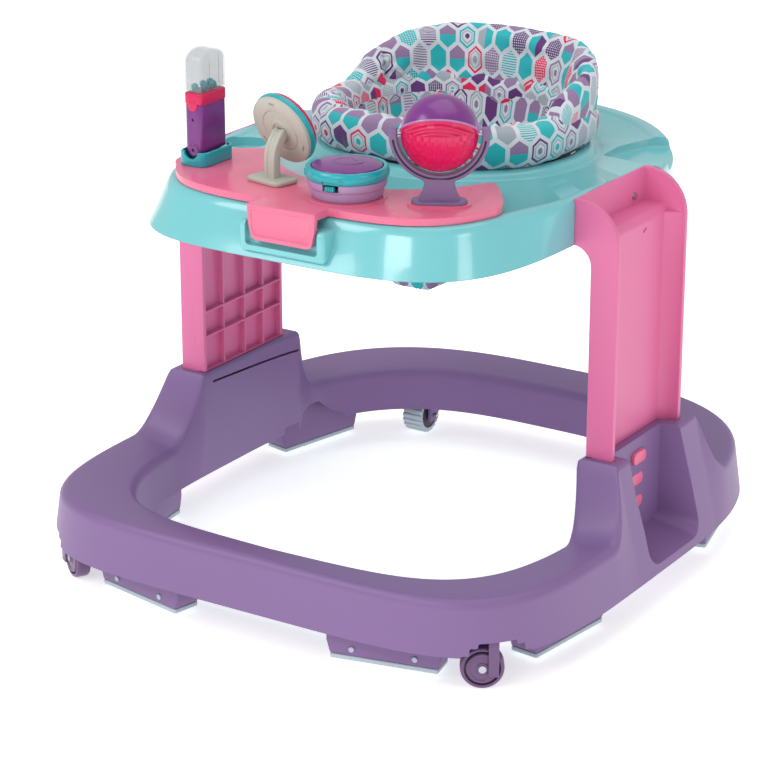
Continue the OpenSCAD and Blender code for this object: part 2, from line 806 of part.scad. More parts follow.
// C-shaped fork on a neck and a rounded foot
module ball_fork() {
    fork_w = 12;
    fork_r = ball_r + 12;
    slot_r = ball_r + 3;
    foot_h = 6;
    color(LILAC) union() {
        at_ball() difference() {
            rotate([90, 0, 0]) translate([0, 0, -fork_w / 2]) difference() {
                cylinder(h = fork_w, r = fork_r, $fn = 96);
                translate([0, 0, -1]) cylinder(h = fork_w + 2, r = slot_r, $fn = 96);
                translate([-fork_r - 1, foot_h, -1]) cube([2 * fork_r + 2, fork_r, fork_w + 2]);
            }
            along_x(-fork_r - 1, fork_r + 1, ball_axle_r + fit);
        }
        translate([ball_at[0], ball_at[1], toy_top]) rotate(ball_yaw) {
            rounded_box(58, 26, foot_h, 12);
            translate([0, 0, foot_h - 1]) rounded_box(36, fork_w, ball_z - toy_top - fork_r - foot_h + 5, 4);
        }
    }
}

// One half of the hollow ball, above or below its axle
module half_ball(up) {
    difference() {
        intersection() {
            sphere(ball_r, $fn = 96);
            translate([-ball_r - 1, -ball_r - 1, up ? 0.2 : -ball_r - 1.2])
                cube([ball_d + 2, ball_d + 2, ball_r + 1]);
        }
        sphere(ball_r - ball_wall, $fn = 96);
        along_x(-ball_r - 1, ball_r + 1, ball_axle_r + fit);
    }
}

module ball_upper() {
    color(PLUM) at_ball() half_ball(true);
}

module ball_lower() {
    color(MAGENTA) at_ball() half_ball(false);
}

// Steel axle through the ball, turning in the fork
module ball_axle() {
    color(STEEL) at_ball() along_x(-ball_r - 10, ball_r + 10, ball_axle_r);
}

// ---------------------------------------------------------------- nodes

base_frame();
caster_sockets();
caster_fork(-1);  // caster_fork_left
caster_fork(1);  // caster_fork_right
caster_wheel(-1);  // caster_wheel_left
caster_wheel(1);  // caster_wheel_right
caster_axle(-1);  // caster_axle_left
caster_axle(1);  // caster_axle_right
rear_brackets();
rear_wheel(-1);  // rear_wheel_left
rear_wheel(1);  // rear_wheel_right
rear_axles();
pad_block(PADS[0], -1);  // pad_block_front_left
pad_block(PADS[0], 1);  // pad_block_front_right
pad_block(PADS[1], -1);  // pad_block_side_left
pad_block(PADS[1], 1);  // pad_block_side_right
pad_block(PADS[2], -1);  // pad_block_rear_left
pad_block(PADS[2], 1);  // pad_block_rear_right
grip_strips();
pad_pegs();
height_button(-1, 0);  // height_button_left_top
height_button(-1, 1);  // height_button_left_middle
height_button(-1, 2);  // height_button_left_low
height_button(1, 0);  // height_button_right_top
height_button(1, 1);  // height_button_right_middle
height_button(1, 2);  // height_button_right_low
leg(-1);  // leg_left
leg(1);  // leg_right
height_latches();
leg_screws();
tray();
seat_ring();
seat_rim_pad();
seat_back_pad();
seat_sling();
toy_tray();
pivot_post();
rattle_cup();
rattle_body();
rattle_collar();
rattle_window();
rattle_beads();
mirror_arm();
mirror_plate();
mirror_rim();
mirror_spinner();
drum_bowl();
drum_ring();
drum_key();
drum_switch();
drum_board();
drum_speaker();
drum_batteries();
ball_fork();
ball_upper();
ball_lower();
ball_axle();
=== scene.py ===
"""Baby walker: a wheeled ring base, two sliding side legs, a tray with a swing-out toy panel, and a padded
fabric seat. Sizes are in millimetres in the sections and turned into metres as each mesh is made."""

from math import asin, copysign, cos, dist, hypot, pi, radians, sin

import bmesh
import bpy
import numpy as np
from mathutils import Matrix, Vector


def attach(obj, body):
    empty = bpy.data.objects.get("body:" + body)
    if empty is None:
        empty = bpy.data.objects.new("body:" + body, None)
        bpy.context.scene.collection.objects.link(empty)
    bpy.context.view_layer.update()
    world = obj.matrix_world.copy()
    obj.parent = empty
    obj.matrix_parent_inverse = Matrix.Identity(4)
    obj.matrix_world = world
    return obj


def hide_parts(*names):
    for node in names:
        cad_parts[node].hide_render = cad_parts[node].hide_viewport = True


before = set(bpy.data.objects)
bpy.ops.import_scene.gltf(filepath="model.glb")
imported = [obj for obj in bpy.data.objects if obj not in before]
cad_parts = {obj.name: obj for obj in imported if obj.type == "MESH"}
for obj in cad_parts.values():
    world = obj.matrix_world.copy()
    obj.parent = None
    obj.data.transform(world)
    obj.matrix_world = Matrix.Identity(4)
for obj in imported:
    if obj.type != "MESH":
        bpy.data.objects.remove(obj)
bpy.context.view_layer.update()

# ---------------- studio
# A pale floor and backdrop, a large soft key light high on the left, a broad overhead light and two
# soft boxes that show as panels on the glossy skirt. The lens is long, in front, to the right and above.
scene = bpy.context.scene
scene.view_settings.view_transform = "Standard"
EYE = Vector((1.5475, -2.5168, 1.2494))
AIM = Vector((0.0012, -0.08, 0.2104))
LENS = 129.24

camera_data = bpy.data.cameras.new("camera")
camera_data.lens = LENS
camera_data.sensor_width = 36
camera_data.clip_start = 0.1
camera_data.clip_end = 40
camera = bpy.data.objects.new("camera", camera_data)
camera.location = EYE
camera.rotation_euler = (AIM - EYE).to_track_quat("-Z", "Y").to_euler()
scene.collection.objects.link(camera)
scene.camera = camera


def soft_box(name, place, toward, width, height, power):
    """A rectangular studio light at a place, turned toward a point."""
    lamp = bpy.data.lights.new(name, "AREA")
    lamp.shape = "RECTANGLE"
    lamp.size, lamp.size_y, lamp.energy = width, height, power
    rig = bpy.data.objects.new(name, lamp)
    rig.location = place
    rig.rotation_euler = (Vector(toward) - Vector(place)).to_track_quat("-Z", "Y").to_euler()
    scene.collection.objects.link(rig)


soft_box("key", (-1.9, -2.6, 2.9), (0, 0, 0.25), 1.6, 1.6, 36)
soft_box("overhead", (0.2, 0.4, 3.2), (0, 0, 0.3), 2.6, 2.6, 24)
soft_box("window", (0.2, -2.84, 2.0), (0.14, -0.28, 0.43), 1.1, 0.6, 15)
soft_box("right_fill", (2.75, -0.66, 1.95), (0.2, -0.23, 0.43), 0.75, 0.6, 6)
sky = bpy.data.worlds.new("studio")
sky.use_nodes = True
sky.node_tree.nodes["Background"].inputs["Color"].default_value = (1, 1, 1, 1)
sky.node_tree.nodes["Background"].inputs["Strength"].default_value = 0.62
scene.world = sky


class Signal:
    """One value or colour inside a material. Sums written on it become Math nodes."""

    def __init__(self, finish, socket):
        self.finish, self.socket = finish, socket

    def sum(self, operation, first, second=None):
        return self.finish.add("Math", {"operation": operation}, first, second)

    def __abs__(self):
        return self.sum("ABSOLUTE", self)

    def floor(self):
        return self.sum("FLOOR", self)

    def max(self, other):
        return self.sum("MAXIMUM", self, other)

    def min(self, other):
        return self.sum("MINIMUM", self, other)

    def sine(self):
        return self.sum("SINE", self)


for sign, operation in (("add", "ADD"), ("sub", "SUBTRACT"), ("mul", "MULTIPLY"), ("truediv", "DIVIDE"),
                        ("mod", "FLOORED_MODULO"), ("gt", "GREATER_THAN"), ("lt", "LESS_THAN")):
    setattr(Signal, f"__{sign}__", lambda self, other, o=operation: self.sum(o, self, other))
    if sign not in ("gt", "lt"):
        setattr(Signal, f"__r{sign}__", lambda self, other, o=operation: self.sum(o, other, self))


def colour(code):
    """A paint colour written as six hex digits, as linear light."""
    parts = [int(code[i : i + 2], 16) / 255 for i in (0, 2, 4)]
    return tuple(c / 12.92 if c <= 0.04045 else ((c + 0.055) / 1.055) ** 2.4 for c in parts) + (1,)


class Finish:
    """A material in the making: one Principled shader and the nodes that feed it."""

    def __init__(self, name, **constants):
        self.material = bpy.data.materials.new(name)
        self.material.use_nodes = True
        self.tree = self.material.node_tree
        self.shader = self.tree.nodes["Principled BSDF"]
        for key, value in constants.items():
            self.shader.inputs[key.replace("_", " ")].default_value = value

    def add(self, kind, settings, *links, out=0, **named):
        node = self.tree.nodes.new("ShaderNode" + kind)
        for key, value in settings.items():
            setattr(node, key, value)
        for key, value in [*enumerate(links), *((k.replace("_", " "), v) for k, v in named.items())]:
            if isinstance(value, Signal):
                self.tree.links.new(value.socket, node.inputs[key])
            elif value is not None:
                node.inputs[key].default_value = value
        return Signal(self, node.outputs[out])

    def blend(self, share, first, second):
        """Colour first where share is 0 and second where it is 1."""
        node = self.tree.nodes.new("ShaderNodeMix")
        node.data_type = "RGBA"
        for socket, value in zip((node.inputs[0], node.inputs[6], node.inputs[7]), (share, first, second)):
            if isinstance(value, Signal):
                self.tree.links.new(value.socket, socket)
            else:
                socket.default_value = value
        return Signal(self, node.outputs[2])

    def feed(self, **signals):
        for key, signal in signals.items():
            self.tree.links.new(signal.socket, self.shader.inputs[key.replace("_", " ")])
        return self.material


bpy.ops.mesh.primitive_plane_add(size=30, location=(0, 0, 0))
floor = bpy.context.object
floor.name = "floor"
paper = Finish("paper", Base_Color=(0.93, 0.93, 0.93, 1), Roughness=0.85,
               Emission_Color=(1, 1, 1, 1), Emission_Strength=0.55)
floor.data.materials.append(paper.material)

# ---------------- base shell
# The base is one large hollow moulding in purple plastic: a ring rail that rises at each side into a
# tower for a leg. Satin surface, 3 mm walls, open underneath.
MM = 0.001
HALF_W, REACH, BASE_Z, RAIL_TOP, TOWER_TOP, WALL = 328, 361, 42, 102, 173, 3
INNER_A, INNER_FRONT, INNER_BACK, STRAIGHT = 256, 295, 287, 190
OUTER_POWERS, INNER_POWERS = (5, 3), (4, 3)
LEG_FRONT, LEG_BACK, LEG_OUT, LEG_IN = -71, 90, 284, 252
TOWER_FRONT, TOWER_BACK, FLANK = 81, 112, 50
BUTTON_Y, BUTTON_Z, HEIGHT_STEP, SCOOP_X = 10, 151, 27, 270


def mix(a, b, t):
    return a + (b - a) * t


def smooth(t):
    t = min(1, max(0, t))
    return t * t * (3 - 2 * t)


def on_oval(a, b, n, t):
    return a * abs(cos(t)) ** (2 / n), b * abs(sin(t)) ** (2 / n)


def half_at(a, b, n, y):
    return a * max(0, 1 - (abs(y) / b) ** n) ** (1 / n)


def ring_point(s, a, front, back, powers):
    """A plan point at station s: -2 front centre, -1 to 1 along the side, 2 back centre."""
    if abs(s) <= 1:
        y = s * STRAIGHT
        return half_at(a, front if y < 0 else back, powers[0 if y < 0 else 1], y), y
    k = 0 if s < 0 else 1
    b, n = (front, back)[k], powers[k]
    start = asin((STRAIGHT / b) ** (n / 2))
    x, y = on_oval(a, b, n, mix(start, pi / 2, abs(s) - 1))
    return x, -y if k == 0 else y


def tower(s):
    """1 on a tower's top, 0 on the rail, with concave flanks between."""
    if abs(s) > 1:
        return 0
    y = s * STRAIGHT
    return min(1, max(0, min((y + TOWER_FRONT + FLANK) / FLANK, (TOWER_BACK + FLANK - y) / FLANK))) ** 2.4


def ring_section(width, h, t):
    """Across the rail from its outer wall to its inner one, t inside the surface."""
    top = mix(RAIL_TOP, TOWER_TOP, h) - t
    low, kink = top - 8 * (1 - h), mix(60, 112, h)
    lean_out, lean_in, r = mix(7, 31, h), mix(4, -9, h), mix(11, 6, h) - t / 2
    turns = [i * pi / 2 / 6 for i in range(7)]
    shape = [(t, BASE_Z), (mix(t, t + lean_out, 0.5), mix(BASE_Z, top - r, 0.5))]
    shape += [(t + lean_out + r * (1 - cos(a)), top - r + r * sin(a)) for a in turns]
    shape += [(width - lean_in - t - r + r * sin(a), low - r + r * cos(a)) for a in turns]
    return shape + [(width - lean_in - t, kink), (width - t, BASE_Z)]


def lofted(loops, close=True):
    """A mesh through equal closed loops, the last joined to the first, or capped when close is False."""
    count, size = len(loops), len(loops[0])
    points = [tuple(c * MM for c in p) for loop in loops for p in loop]
    faces = []
    for i in range(count if close else count - 1):
        here, there = i * size, (i + 1) % count * size
        faces += [(here + j, here + (j + 1) % size, there + (j + 1) % size, there + j) for j in range(size)]
    if not close:
        faces += [tuple(range(size))[::-1], tuple((count - 1) * size + j for j in range(size))]
    mesh = bpy.data.meshes.new("piece")
    mesh.from_pydata(points, [], faces)
    made = bpy.data.objects.new("piece", mesh)
    scene.collection.objects.link(made)
    face_out(made)
    return made


def only(*objects):
    """Deselects everything else, and makes the last of these objects the active one."""
    bpy.ops.object.select_all(action="DESELECT")
    for o in objects:
        o.select_set(True)
    bpy.context.view_layer.objects.active = objects[-1]


def face_out(made):
    """Merges doubles and turns every face outward."""
    only(made)
    bpy.ops.object.mode_set(mode="EDIT")
    bpy.ops.mesh.select_all(action="SELECT")
    bpy.ops.mesh.remove_doubles(threshold=0.00001)
    bpy.ops.mesh.normals_make_consistent(inside=False)
    bpy.ops.object.mode_set(mode="OBJECT")


def finish_modifier(made, kind, **settings):
    """Adds a modifier, and applies it."""
    only(made)
    worked = made.modifiers.new(kind.lower(), kind)
    for key, value in settings.items():
        setattr(worked, key, value)
    bpy.ops.object.modifier_apply(modifier=worked.name)
    return made


def combine(made, tool, operation="DIFFERENCE"):
    """Cuts the tool out of a piece, or joins it on, and removes the tool."""
    finish_modifier(made, "BOOLEAN", operation=operation, object=tool, solver="MANIFOLD")
    bpy.data.objects.remove(tool)
    return made


def copied(made, matrix=None):
    """A copy with its own mesh, moved by a matrix that is in metres."""
    twin = made.copy()
    twin.data = made.data.copy()
    scene.collection.objects.link(twin)
    if matrix is not None:
        twin.data.transform(matrix)
        if matrix.determinant() < 0:
            twin.data.flip_normals()
    return twin


MIRROR = Matrix.Scale(-1, 4, (1, 0, 0))
HANDS = ((1, "right"), (-1, "left"))


def mirrored(made):
    """Flips a piece from the right side to the left."""
    made.data.transform(MIRROR)
    made.data.flip_normals()


def settle(made, name, material, body, slot, *nodes, angle=35):
    """Names a finished piece, smooths it, gives it its material, and hangs it on the frame."""
    only(made)
    bpy.ops.object.shade_smooth_by_angle(angle=radians(angle))
    made.name = made.data.name = name
    made.data.materials.clear()
    made.data.materials.append(material)
    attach(made, body)
    if nodes:
        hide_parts(*nodes)
    return made


def stand_in(made, node, material, body, slot, angle=35):
    """Settles a piece that takes the place of one CAD node, and names it after the node."""
    return settle(made, node + "_piece", material, body, slot, node, angle=angle)


def block(x0, x1, y0, y1, z0, z1, r=0, steps=5):
    """A box between two corners, its upright edges rounded when r is given."""
    bpy.ops.object.select_all(action="DESELECT")
    centre = ((x0 + x1) / 2 * MM, (y0 + y1) / 2 * MM, (z0 + z1) / 2 * MM)
    bpy.ops.mesh.primitive_cube_add(size=1, location=centre)
    made = bpy.context.object
    made.scale = ((x1 - x0) * MM, (y1 - y0) * MM, (z1 - z0) * MM)
    bpy.ops.object.transform_apply(location=True, rotation=True, scale=True)
    if r:
        bpy.ops.object.mode_set(mode="EDIT")
        bpy.ops.mesh.select_mode(type="EDGE")
        bpy.ops.mesh.select_all(action="DESELECT")
        drawn = bmesh.from_edit_mesh(made.data)
        for e in drawn.edges:
            a, b = e.verts
            e.select = abs(a.co.z - b.co.z) > abs(z1 - z0) * MM * 0.9
        bmesh.update_edit_mesh(made.data)
        bpy.ops.mesh.bevel(offset=r * MM, segments=steps, affect="EDGES")
        bpy.ops.object.mode_set(mode="OBJECT")
    return made


def moved(made, *turns, place=(0, 0, 0)):
    """Turns a piece about the origin by (axis, degrees) pairs, one after another, then shifts it."""
    matrix = Matrix.Identity(4)
    for axis, degrees in turns:
        matrix = Matrix.Rotation(radians(degrees), 4, axis) @ matrix
    made.data.transform(Matrix.Translation(Vector(place) * MM) @ matrix)
    return made


def disc(radius, z0, z1, around=48, axis="Z", place=(0, 0, 0)):
    """A cylinder along an axis from z0 to z1, measured from place."""
    bpy.ops.object.select_all(action="DESELECT")
    bpy.ops.mesh.primitive_cylinder_add(vertices=around, radius=radius * MM, depth=(z1 - z0) * MM)
    made = bpy.context.object
    bpy.ops.object.transform_apply(location=True, rotation=True, scale=True)
    moved(made, place=(0, 0, (z0 + z1) / 2))
    turn = {"X": (("Y", 90),), "Y": (("X", -90),), "Z": ()}[axis]
    return moved(made, *turn, place=place)


def soften(made, width, steps=3):
    """Rounds every edge sharper than 35 degrees."""
    return finish_modifier(made, "BEVEL", width=width * MM, segments=steps, limit_method="ANGLE",
                           angle_limit=radians(35), harden_normals=False, miter_outer="MITER_ARC")


def scoop(grow, out):
    """The U-shaped scoop in a tower's outer face, from its flat back wall out to x = out."""
    loops = []
    for x, y0, y1, low, r, flare in ((SCOOP_X + 3, -52, 62, 62, 12, 0), (out, -50, 74, 48, 22, 16)):
        y0, y1, low, r = y0 - grow, y1 + grow, low - grow, r + grow
        arc = [i * pi / 2 / 8 for i in range(9)]
        loop = [(x, y0 - flare, 200), (x, y0 - flare * 0.45, 130)]
        loop += [(x, y0 + r - r * cos(a), low + r - r * sin(a)) for a in arc]
        loop += [(x, y1 - r + r * sin(a), low + r - r * cos(a)) for a in arc]
        loops.append(loop + [(x, y1 + flare * 0.15, 130), (x, y1 + flare * 0.25, 200)])
    if grow:
        loops[0] = [(x - grow, y, z) for x, y, z in loops[0]]
    return lofted(loops, close=False)


def base_loops(section):
    """Closed loops round the right half of the ring, then the left half mirrored."""
    stations = [-2 + i / 40 for i in range(40)] + [-1 + i / 60 for i in range(121)]
    stations += [1 + i / 40 for i in range(1, 41)]
    half = []
    for s in stations:
        ox, oy = ring_point(s, HALF_W, REACH, REACH, OUTER_POWERS)
        ix, iy = ring_point(s, INNER_A, INNER_FRONT, INNER_BACK, INNER_POWERS)
        width = hypot(ix - ox, iy - oy)
        ux, uy = (ix - ox) / width, (iy - oy) / width
        half.append([(ox + ux * a, oy + uy * a, z) for a, z in section(width, tower(s))])
    return half + [[(-x, y, z) for x, y, z in loop] for loop in half[-2:0:-1]]


base = lofted(base_loops(lambda w, h: ring_section(w, h, 0) + ring_section(w, h, WALL)[::-1]))
for side in (1, -1):
    filled = lofted(base_loops(lambda w, h: ring_section(w, h, 0)))
    lining = scoop(WALL, HALF_W + 12)
    if side < 0:
        mirrored(lining)
    combine(filled, lining, "INTERSECT")
    combine(base, filled, "UNION")

arch = block(-39, 39, -16, 16, 0, 4)
combine(arch, block(-30, 30, -16, 16, 3, 12), "UNION")
combine(arch, block(-21, 21, -16, 16, 11, 17), "UNION")
soften(arch, 3, 3)
moved(arch, ("Z", 45), place=(290, -316, BASE_Z - 2))
cuts = [arch, scoop(0, HALF_W + 12)]
cuts.append(block(LEG_IN - 0.6, 263.6, LEG_FRONT - 1, LEG_BACK + 1, TOWER_TOP - 16, TOWER_TOP + 14))
for y in (LEG_FRONT - 1, LEG_BACK - 7):
    cuts.append(block(LEG_IN - 0.6, LEG_OUT + 0.6, y, y + 8, TOWER_TOP - 16.5, TOWER_TOP + 14))
for row in range(3):
    window = block(-7, 7, -15, 15, -7.4, 7.4)
    moved(window, ("Y", 90))
    soften(window, 6.5, 5)
    cuts.append(moved(window, place=(SCOOP_X, BUTTON_Y, BUTTON_Z - row * HEIGHT_STEP)))
cuts.append(moved(block(-4, 8, -86, 86, -1.4, 1.4), ("X", -3.4), place=(242, 24, 155)))
cuts.append(moved(block(-2, 1.2, -85, 85, -1, 1), ("X", -3.4), place=(239.6, 24, 148)))
notch = ((118, 30), (126, 62), (140, 68), (158, 68), (176, 52), (190, 46), (196, 30))
cuts.append(lofted([[(x, y, z) for y, z in notch] for x in (225, 268)], close=False))
cuts.append(block(240, 268, 92, 119, 30, 52))
for tool in cuts:
    twin = copied(tool, MIRROR)
    combine(base, tool)
    combine(base, twin)


def plastic(name, code, rough=0.36, coat=0.0, edge=1.0, grain=0.35):
    """Coloured moulded plastic: faint mottling, a fine moulded grain, dusty dull spots and edges painted
    paler as a highlight.
    """
    made = Finish(name, Coat_Weight=coat, Coat_Roughness=0.06, Specular_IOR_Level=0.5)
    place = made.add("TexCoord", {}, out="Object")
    broad = made.add("TexNoise", {}, Vector=place, Scale=7.0, Detail=3.0)
    fine = made.add("TexNoise", {}, Vector=place, Scale=900.0, Detail=2.0)
    rounded = made.add("Bevel", {"samples": 4}, Radius=edge * MM)
    true = made.add("NewGeometry", {}, out="Normal")
    corner = 1 - made.add("VectorMath", {"operation": "DOT_PRODUCT"}, rounded, true, out="Value")
    paint = colour(code)
    deep, light = tuple(c * 0.95 for c in paint[:3]) + (1,), tuple(min(1, c * 1.05) for c in paint[:3]) + (1,)
    highlight_colour = tuple(mix(c, 1, 0.35) for c in paint[:3]) + (1,)
    body = made.blend(broad, deep, light)
    bump = made.add("Bump", {}, Strength=grain, Distance=0.00012, Height=fine, Normal=rounded)
    # Every edge is blended toward a paler colour: a painted highlight along the edges.
    edge_highlight_share = (corner * 0.4).min(1.0)
    return made.feed(Base_Color=made.blend(edge_highlight_share, body, highlight_colour), Roughness=broad * 0.12 + (rough - 0.06),
                     Normal=bump)


PURPLE = plastic("purple_plastic", "806294", rough=0.42)
settle(base, "base_shell", PURPLE, "base", "purple", "base_frame", angle=28)

# ---------------- casters
# Each front caster is a purple nylon fork on a steel stem: a bridge, a strap down its outer side and a
# dished disc. The purple wheel turns on a steel axle screwed through the disc.
CASTER_AT, CASTER_D, CASTER_YAW, TRAIL = (272, -298), 46, -57.6, 11.5


def spun(outline, around=64, axis="Z", place=(0, 0, 0)):
    """A closed outline of (radius, height) points turned round an axis."""
    turns = [i * 2 * pi / around for i in range(around)]
    made = lofted([[(r * cos(a), r * sin(a), h) for r, h in outline] for a in turns])
    return moved(made, *{"X": (("Y", 90),), "Y": (("X", -90),), "Z": ()}[axis], place=place)


def joined(*parts):
    """Parts that overlap or touch, made one solid."""
    first, *others = parts
    for other in others:
        combine(first, other, "UNION")
    return first


def drilled(made, *tools):
    for tool in tools:
        combine(made, tool)
    return made


hub = (0, -TRAIL, CASTER_D / 2)
disc_r = CASTER_D / 2 - 6
dish = [(0, 4), (disc_r, 4), (disc_r, 7.5), (disc_r - 1.2, 8.8), (disc_r - 3.5, 8.8), (disc_r - 4.5, 8),
        (7, 8.6), (6, 9.6), (0, 9.6)]
fork = joined(
    spun(dish, axis="X", place=hub),
    soften(block(9, 13, -5.5, 5.5, 15, 56), 1.2),
    soften(block(-5.5, 13, -5.5, 5.5, CASTER_D + 1.5, CASTER_D + 6), 1),
    disc(4, CASTER_D + 2, 82, 32),
)
drilled(fork, disc(2.6, -10, 20, 24, "X", hub))
tread = [(2.55, -5.5), (17, -5.5), (17, -8), (20.5, -8), (22, -7.4), (22.8, -6), (23, -4), (23, 4),
         (22.8, 6), (22, 7.4), (20.8, 8), (19, 8), (19, 3), (2.55, 3)]
wheel = spun(tread, 96, "X", hub)
STEEL = Finish("steel", Base_Color=colour("b9bcc0"), Metallic=1.0)
brushed = STEEL.add("TexNoise", {}, Vector=STEEL.add("TexCoord", {}, out="Object"), Scale=260.0, Detail=3.0)
STEEL.feed(Roughness=brushed * 0.25 + 0.22)
WHEEL_PURPLE = plastic("wheel_plastic", "6c4e78", rough=0.32, edge=0.8)
for k, hand in HANDS:
    for made, kind, body in ((fork, "fork", "caster"), (wheel, "wheel", "caster_wheel")):
        piece = copied(made)
        moved(piece, ("Z", CASTER_YAW), place=(*CASTER_AT, 0))
        if k < 0:
            mirrored(piece)
        stand_in(piece, f"caster_{kind}_{hand}", WHEEL_PURPLE, f"{body}_{hand}", "purple")
for spent in (fork, wheel):
    bpy.data.objects.remove(spent)

# ---------------- rear wheels
# Wide ribbed rollers in pale grey plastic with dark hubs, on steel axles held by purple brackets under the
# back rail.
PALE = plastic("pale_rubber", "b9c6cf", rough=0.5, edge=0.6)
DARK = plastic("dark_plastic", "34333c", rough=0.5, edge=0.6)
REAR_AT, REAR_R, RIBS = (180, 294), 24, 20
rim = []
for i in range(RIBS):
    for share, r in ((0.08, 22.2), (0.42, 22.2), (0.56, REAR_R), (0.94, REAR_R)):
        rim.append((r, (i + share) * 2 * pi / RIBS))
for k, hand in HANDS:
    at = (k * REAR_AT[0], REAR_AT[1], REAR_R)
    loops = [[((r - d) * cos(a), (r - d) * sin(a), x) for r, a in rim]
             for x, d in ((-13.5, 1.6), (-12.4, 0), (12.4, 0), (13.5, 1.6))]
    roller = moved(lofted(loops, close=False), ("Y", 90), place=at)
    drilled(roller, disc(2.55, -20, 20, 24, "X", at), disc(18, 9, 14, 48, "X", at),
            disc(18, -14, -9, 48, "X", at))
    stand_in(roller, f"rear_wheel_{hand}", PALE, f"rear_wheel_{hand}", "pale_rubber")
    for x, side in ((11.5, "outer"), (-11.5, "inner")):
        cap = spun([(2.6, -2.4), (14, -2.4), (16.5, -1), (16.5, 1), (15, 2), (2.6, 2)], 48, "X",
                   (at[0] + x, at[1], at[2]))
        settle(cap, f"rear_hub_{hand}_{side}", DARK, f"rear_wheel_{hand}", "dark")

# ---------------- friction pads
# Six purple blocks under the rail, each with a pale rubber strip pegged under it that grips the floor when
# a wheel drops off an edge.
PADS = {"front": (155, -313, 12), "side": (275, -168, 83), "rear": (274, 183, 103)}
PAD_LEN, PAD_W, PAD_Z, STRIP_H = 120, 34, 6, 5


def prism(outline, y0, y1):
    """An outline of (x, z) points extruded from y0 to y1."""
    return lofted([[(x, y, z) for x, z in outline] for y in (y0, y1)], close=False)


half = PAD_LEN / 2
low = PAD_Z + STRIP_H
strips = []
for where, (x, y, turn) in PADS.items():
    side = [(-half, low), (half, low), (half + 4, 26), (half + 4, 72), (-half - 4, 72), (-half - 4, 26)]
    made = soften(prism(side, -PAD_W / 2, PAD_W / 2), 2.4)
    inner = [(-half + 3, low + 3), (half - 3, low + 3), (half, 28), (half, 80), (-half, 80), (-half, 28)]
    combine(made, prism(inner, -PAD_W / 2 + 3, PAD_W / 2 - 3))
    strip = soften(block(-half, half, -PAD_W / 2, PAD_W / 2, PAD_Z, low, 3), 1.0)
    for k, hand in HANDS:
        shift = Matrix.Translation(Vector((x, y, 0)) * MM) @ Matrix.Rotation(radians(turn), 4, "Z")
        if k < 0:
            shift = MIRROR @ shift
        settle(copied(made, shift), f"pad_{where}_{hand}", PURPLE, "base", "purple",
               f"pad_block_{where}_{hand}")
        strips.append(copied(strip, shift))
    bpy.data.objects.remove(made)
    bpy.data.objects.remove(strip)
only(*strips)
bpy.ops.object.join()
stand_in(bpy.context.object, "grip_strips", PALE, "base", "pale_rubber")

# ---------------- height buttons
# Three rose plastic buttons in each tower's scoop, one for each height. A cap pokes out through the wall
# and a wider plate behind it keeps it in; the top one stands proudest.
ROSE = plastic("rose_plastic", "ea6f93", rough=0.34, edge=0.8)
for k, hand in HANDS:
    for row, level in enumerate(("top", "middle", "low")):
        proud = 4 if row == 0 else 0.6
        cap = soften(moved(block(-7, 7, -14.5, 14.5, -1, WALL + proud, 6.6), ("Y", 90)), 1.1)
        plate = moved(block(-9, 9, -17, 17, -2, -0.4, 8), ("Y", 90))
        button = joined(cap, plate)
        moved(button, place=(SCOOP_X, BUTTON_Y, BUTTON_Z - row * HEIGHT_STEP))
        if k < 0:
            mirrored(button)
        node = f"height_button_{hand}_{level}"
        stand_in(button, node, ROSE, node, "rose")

# ---------------- legs
# Pink channel-shaped legs that slide in the towers and arch over to the tray. The outer side is a recess
# between two flanges; the inner side is ribbed.
PINK = plastic("pink_plastic", "dd6f9f", rough=0.38, edge=1.4)
JOINT_X, DECK_Z, TRAY_Z, WEB_X, LEDGE_Z = 230, 457, 407, 260, 419


def upright(outline, z0, z1):
    """An outline of (x, y) points extruded from z0 to z1."""
    return lofted([[(x, y, z) for x, y in outline] for z in (z0, z1)], close=False)


def bow(x, z, r, start, end, steps=16):
    """Points on an arc, by its centre and angles in degrees."""
    angles = [radians(mix(start, end, i / steps)) for i in range(steps + 1)]
    return [(x + r * cos(a), z + r * sin(a)) for a in angles]


profile = [(WEB_X, TOWER_TOP), (WEB_X, 97), (LEG_OUT, 97)]
profile += bow(LEG_OUT - 48, DECK_Z - 48, 48, 0, 90)
profile += [(JOINT_X, DECK_Z)] + bow(JOINT_X, TRAY_Z - 22, 22, 90, 0, 10) + [(LEG_IN, TOWER_TOP)]
leg = prism(profile, LEG_FRONT, LEG_BACK)
trough = [(WEB_X + 3, 60), (320, 60), (320, 480), (JOINT_X + 3, 480), (JOINT_X + 3, LEDGE_Z)]
trough += bow(WEB_X - 7, LEDGE_Z - 10, 10, 90, 0, 8)
combine(leg, prism(trough, LEG_FRONT + 6, LEG_BACK - 6))
combine(leg, upright([(262, 74), (281, 85), (262, 85)], 98, 412), "UNION")
soften(leg, 2.2)
panel = block(LEG_IN - 6, WEB_X, LEG_FRONT + 5, LEG_BACK - 5, TOWER_TOP + 1, TRAY_Z - 8)
combine(leg, panel)
for y in (-30, 12, 50):
    combine(leg, block(LEG_IN + 0.8, WEB_X + 1, y, y + 2, TOWER_TOP, TRAY_Z - 6), "UNION")
for z in (214, 244, 330, 390):
    combine(leg, block(LEG_IN + 0.2, WEB_X + 1, LEG_FRONT + 3, LEG_BACK - 3, z, z + 2), "UNION")
for y, z in ((-30, 330), (12, 214), (50, 244)):
    combine(leg, block(LEG_IN - 1, WEB_X, y - 3, y + 5, z - 3, z - 0.4))
drilled(leg, soften(moved(block(-2, 2, -4, 4, -1.2, 1.2), ("X", 25), place=(WEB_X + 2.5, 30, 403)), 0.8, 2),
        block(WEB_X - 4, WEB_X + 8, 1, 19, BUTTON_Z - 4.5, BUTTON_Z + 4.5))
for k, hand in HANDS:
    piece = copied(leg, MIRROR if k < 0 else None)
    stand_in(piece, f"leg_{hand}", PINK, "upper", "pink")
bpy.data.objects.remove(leg)

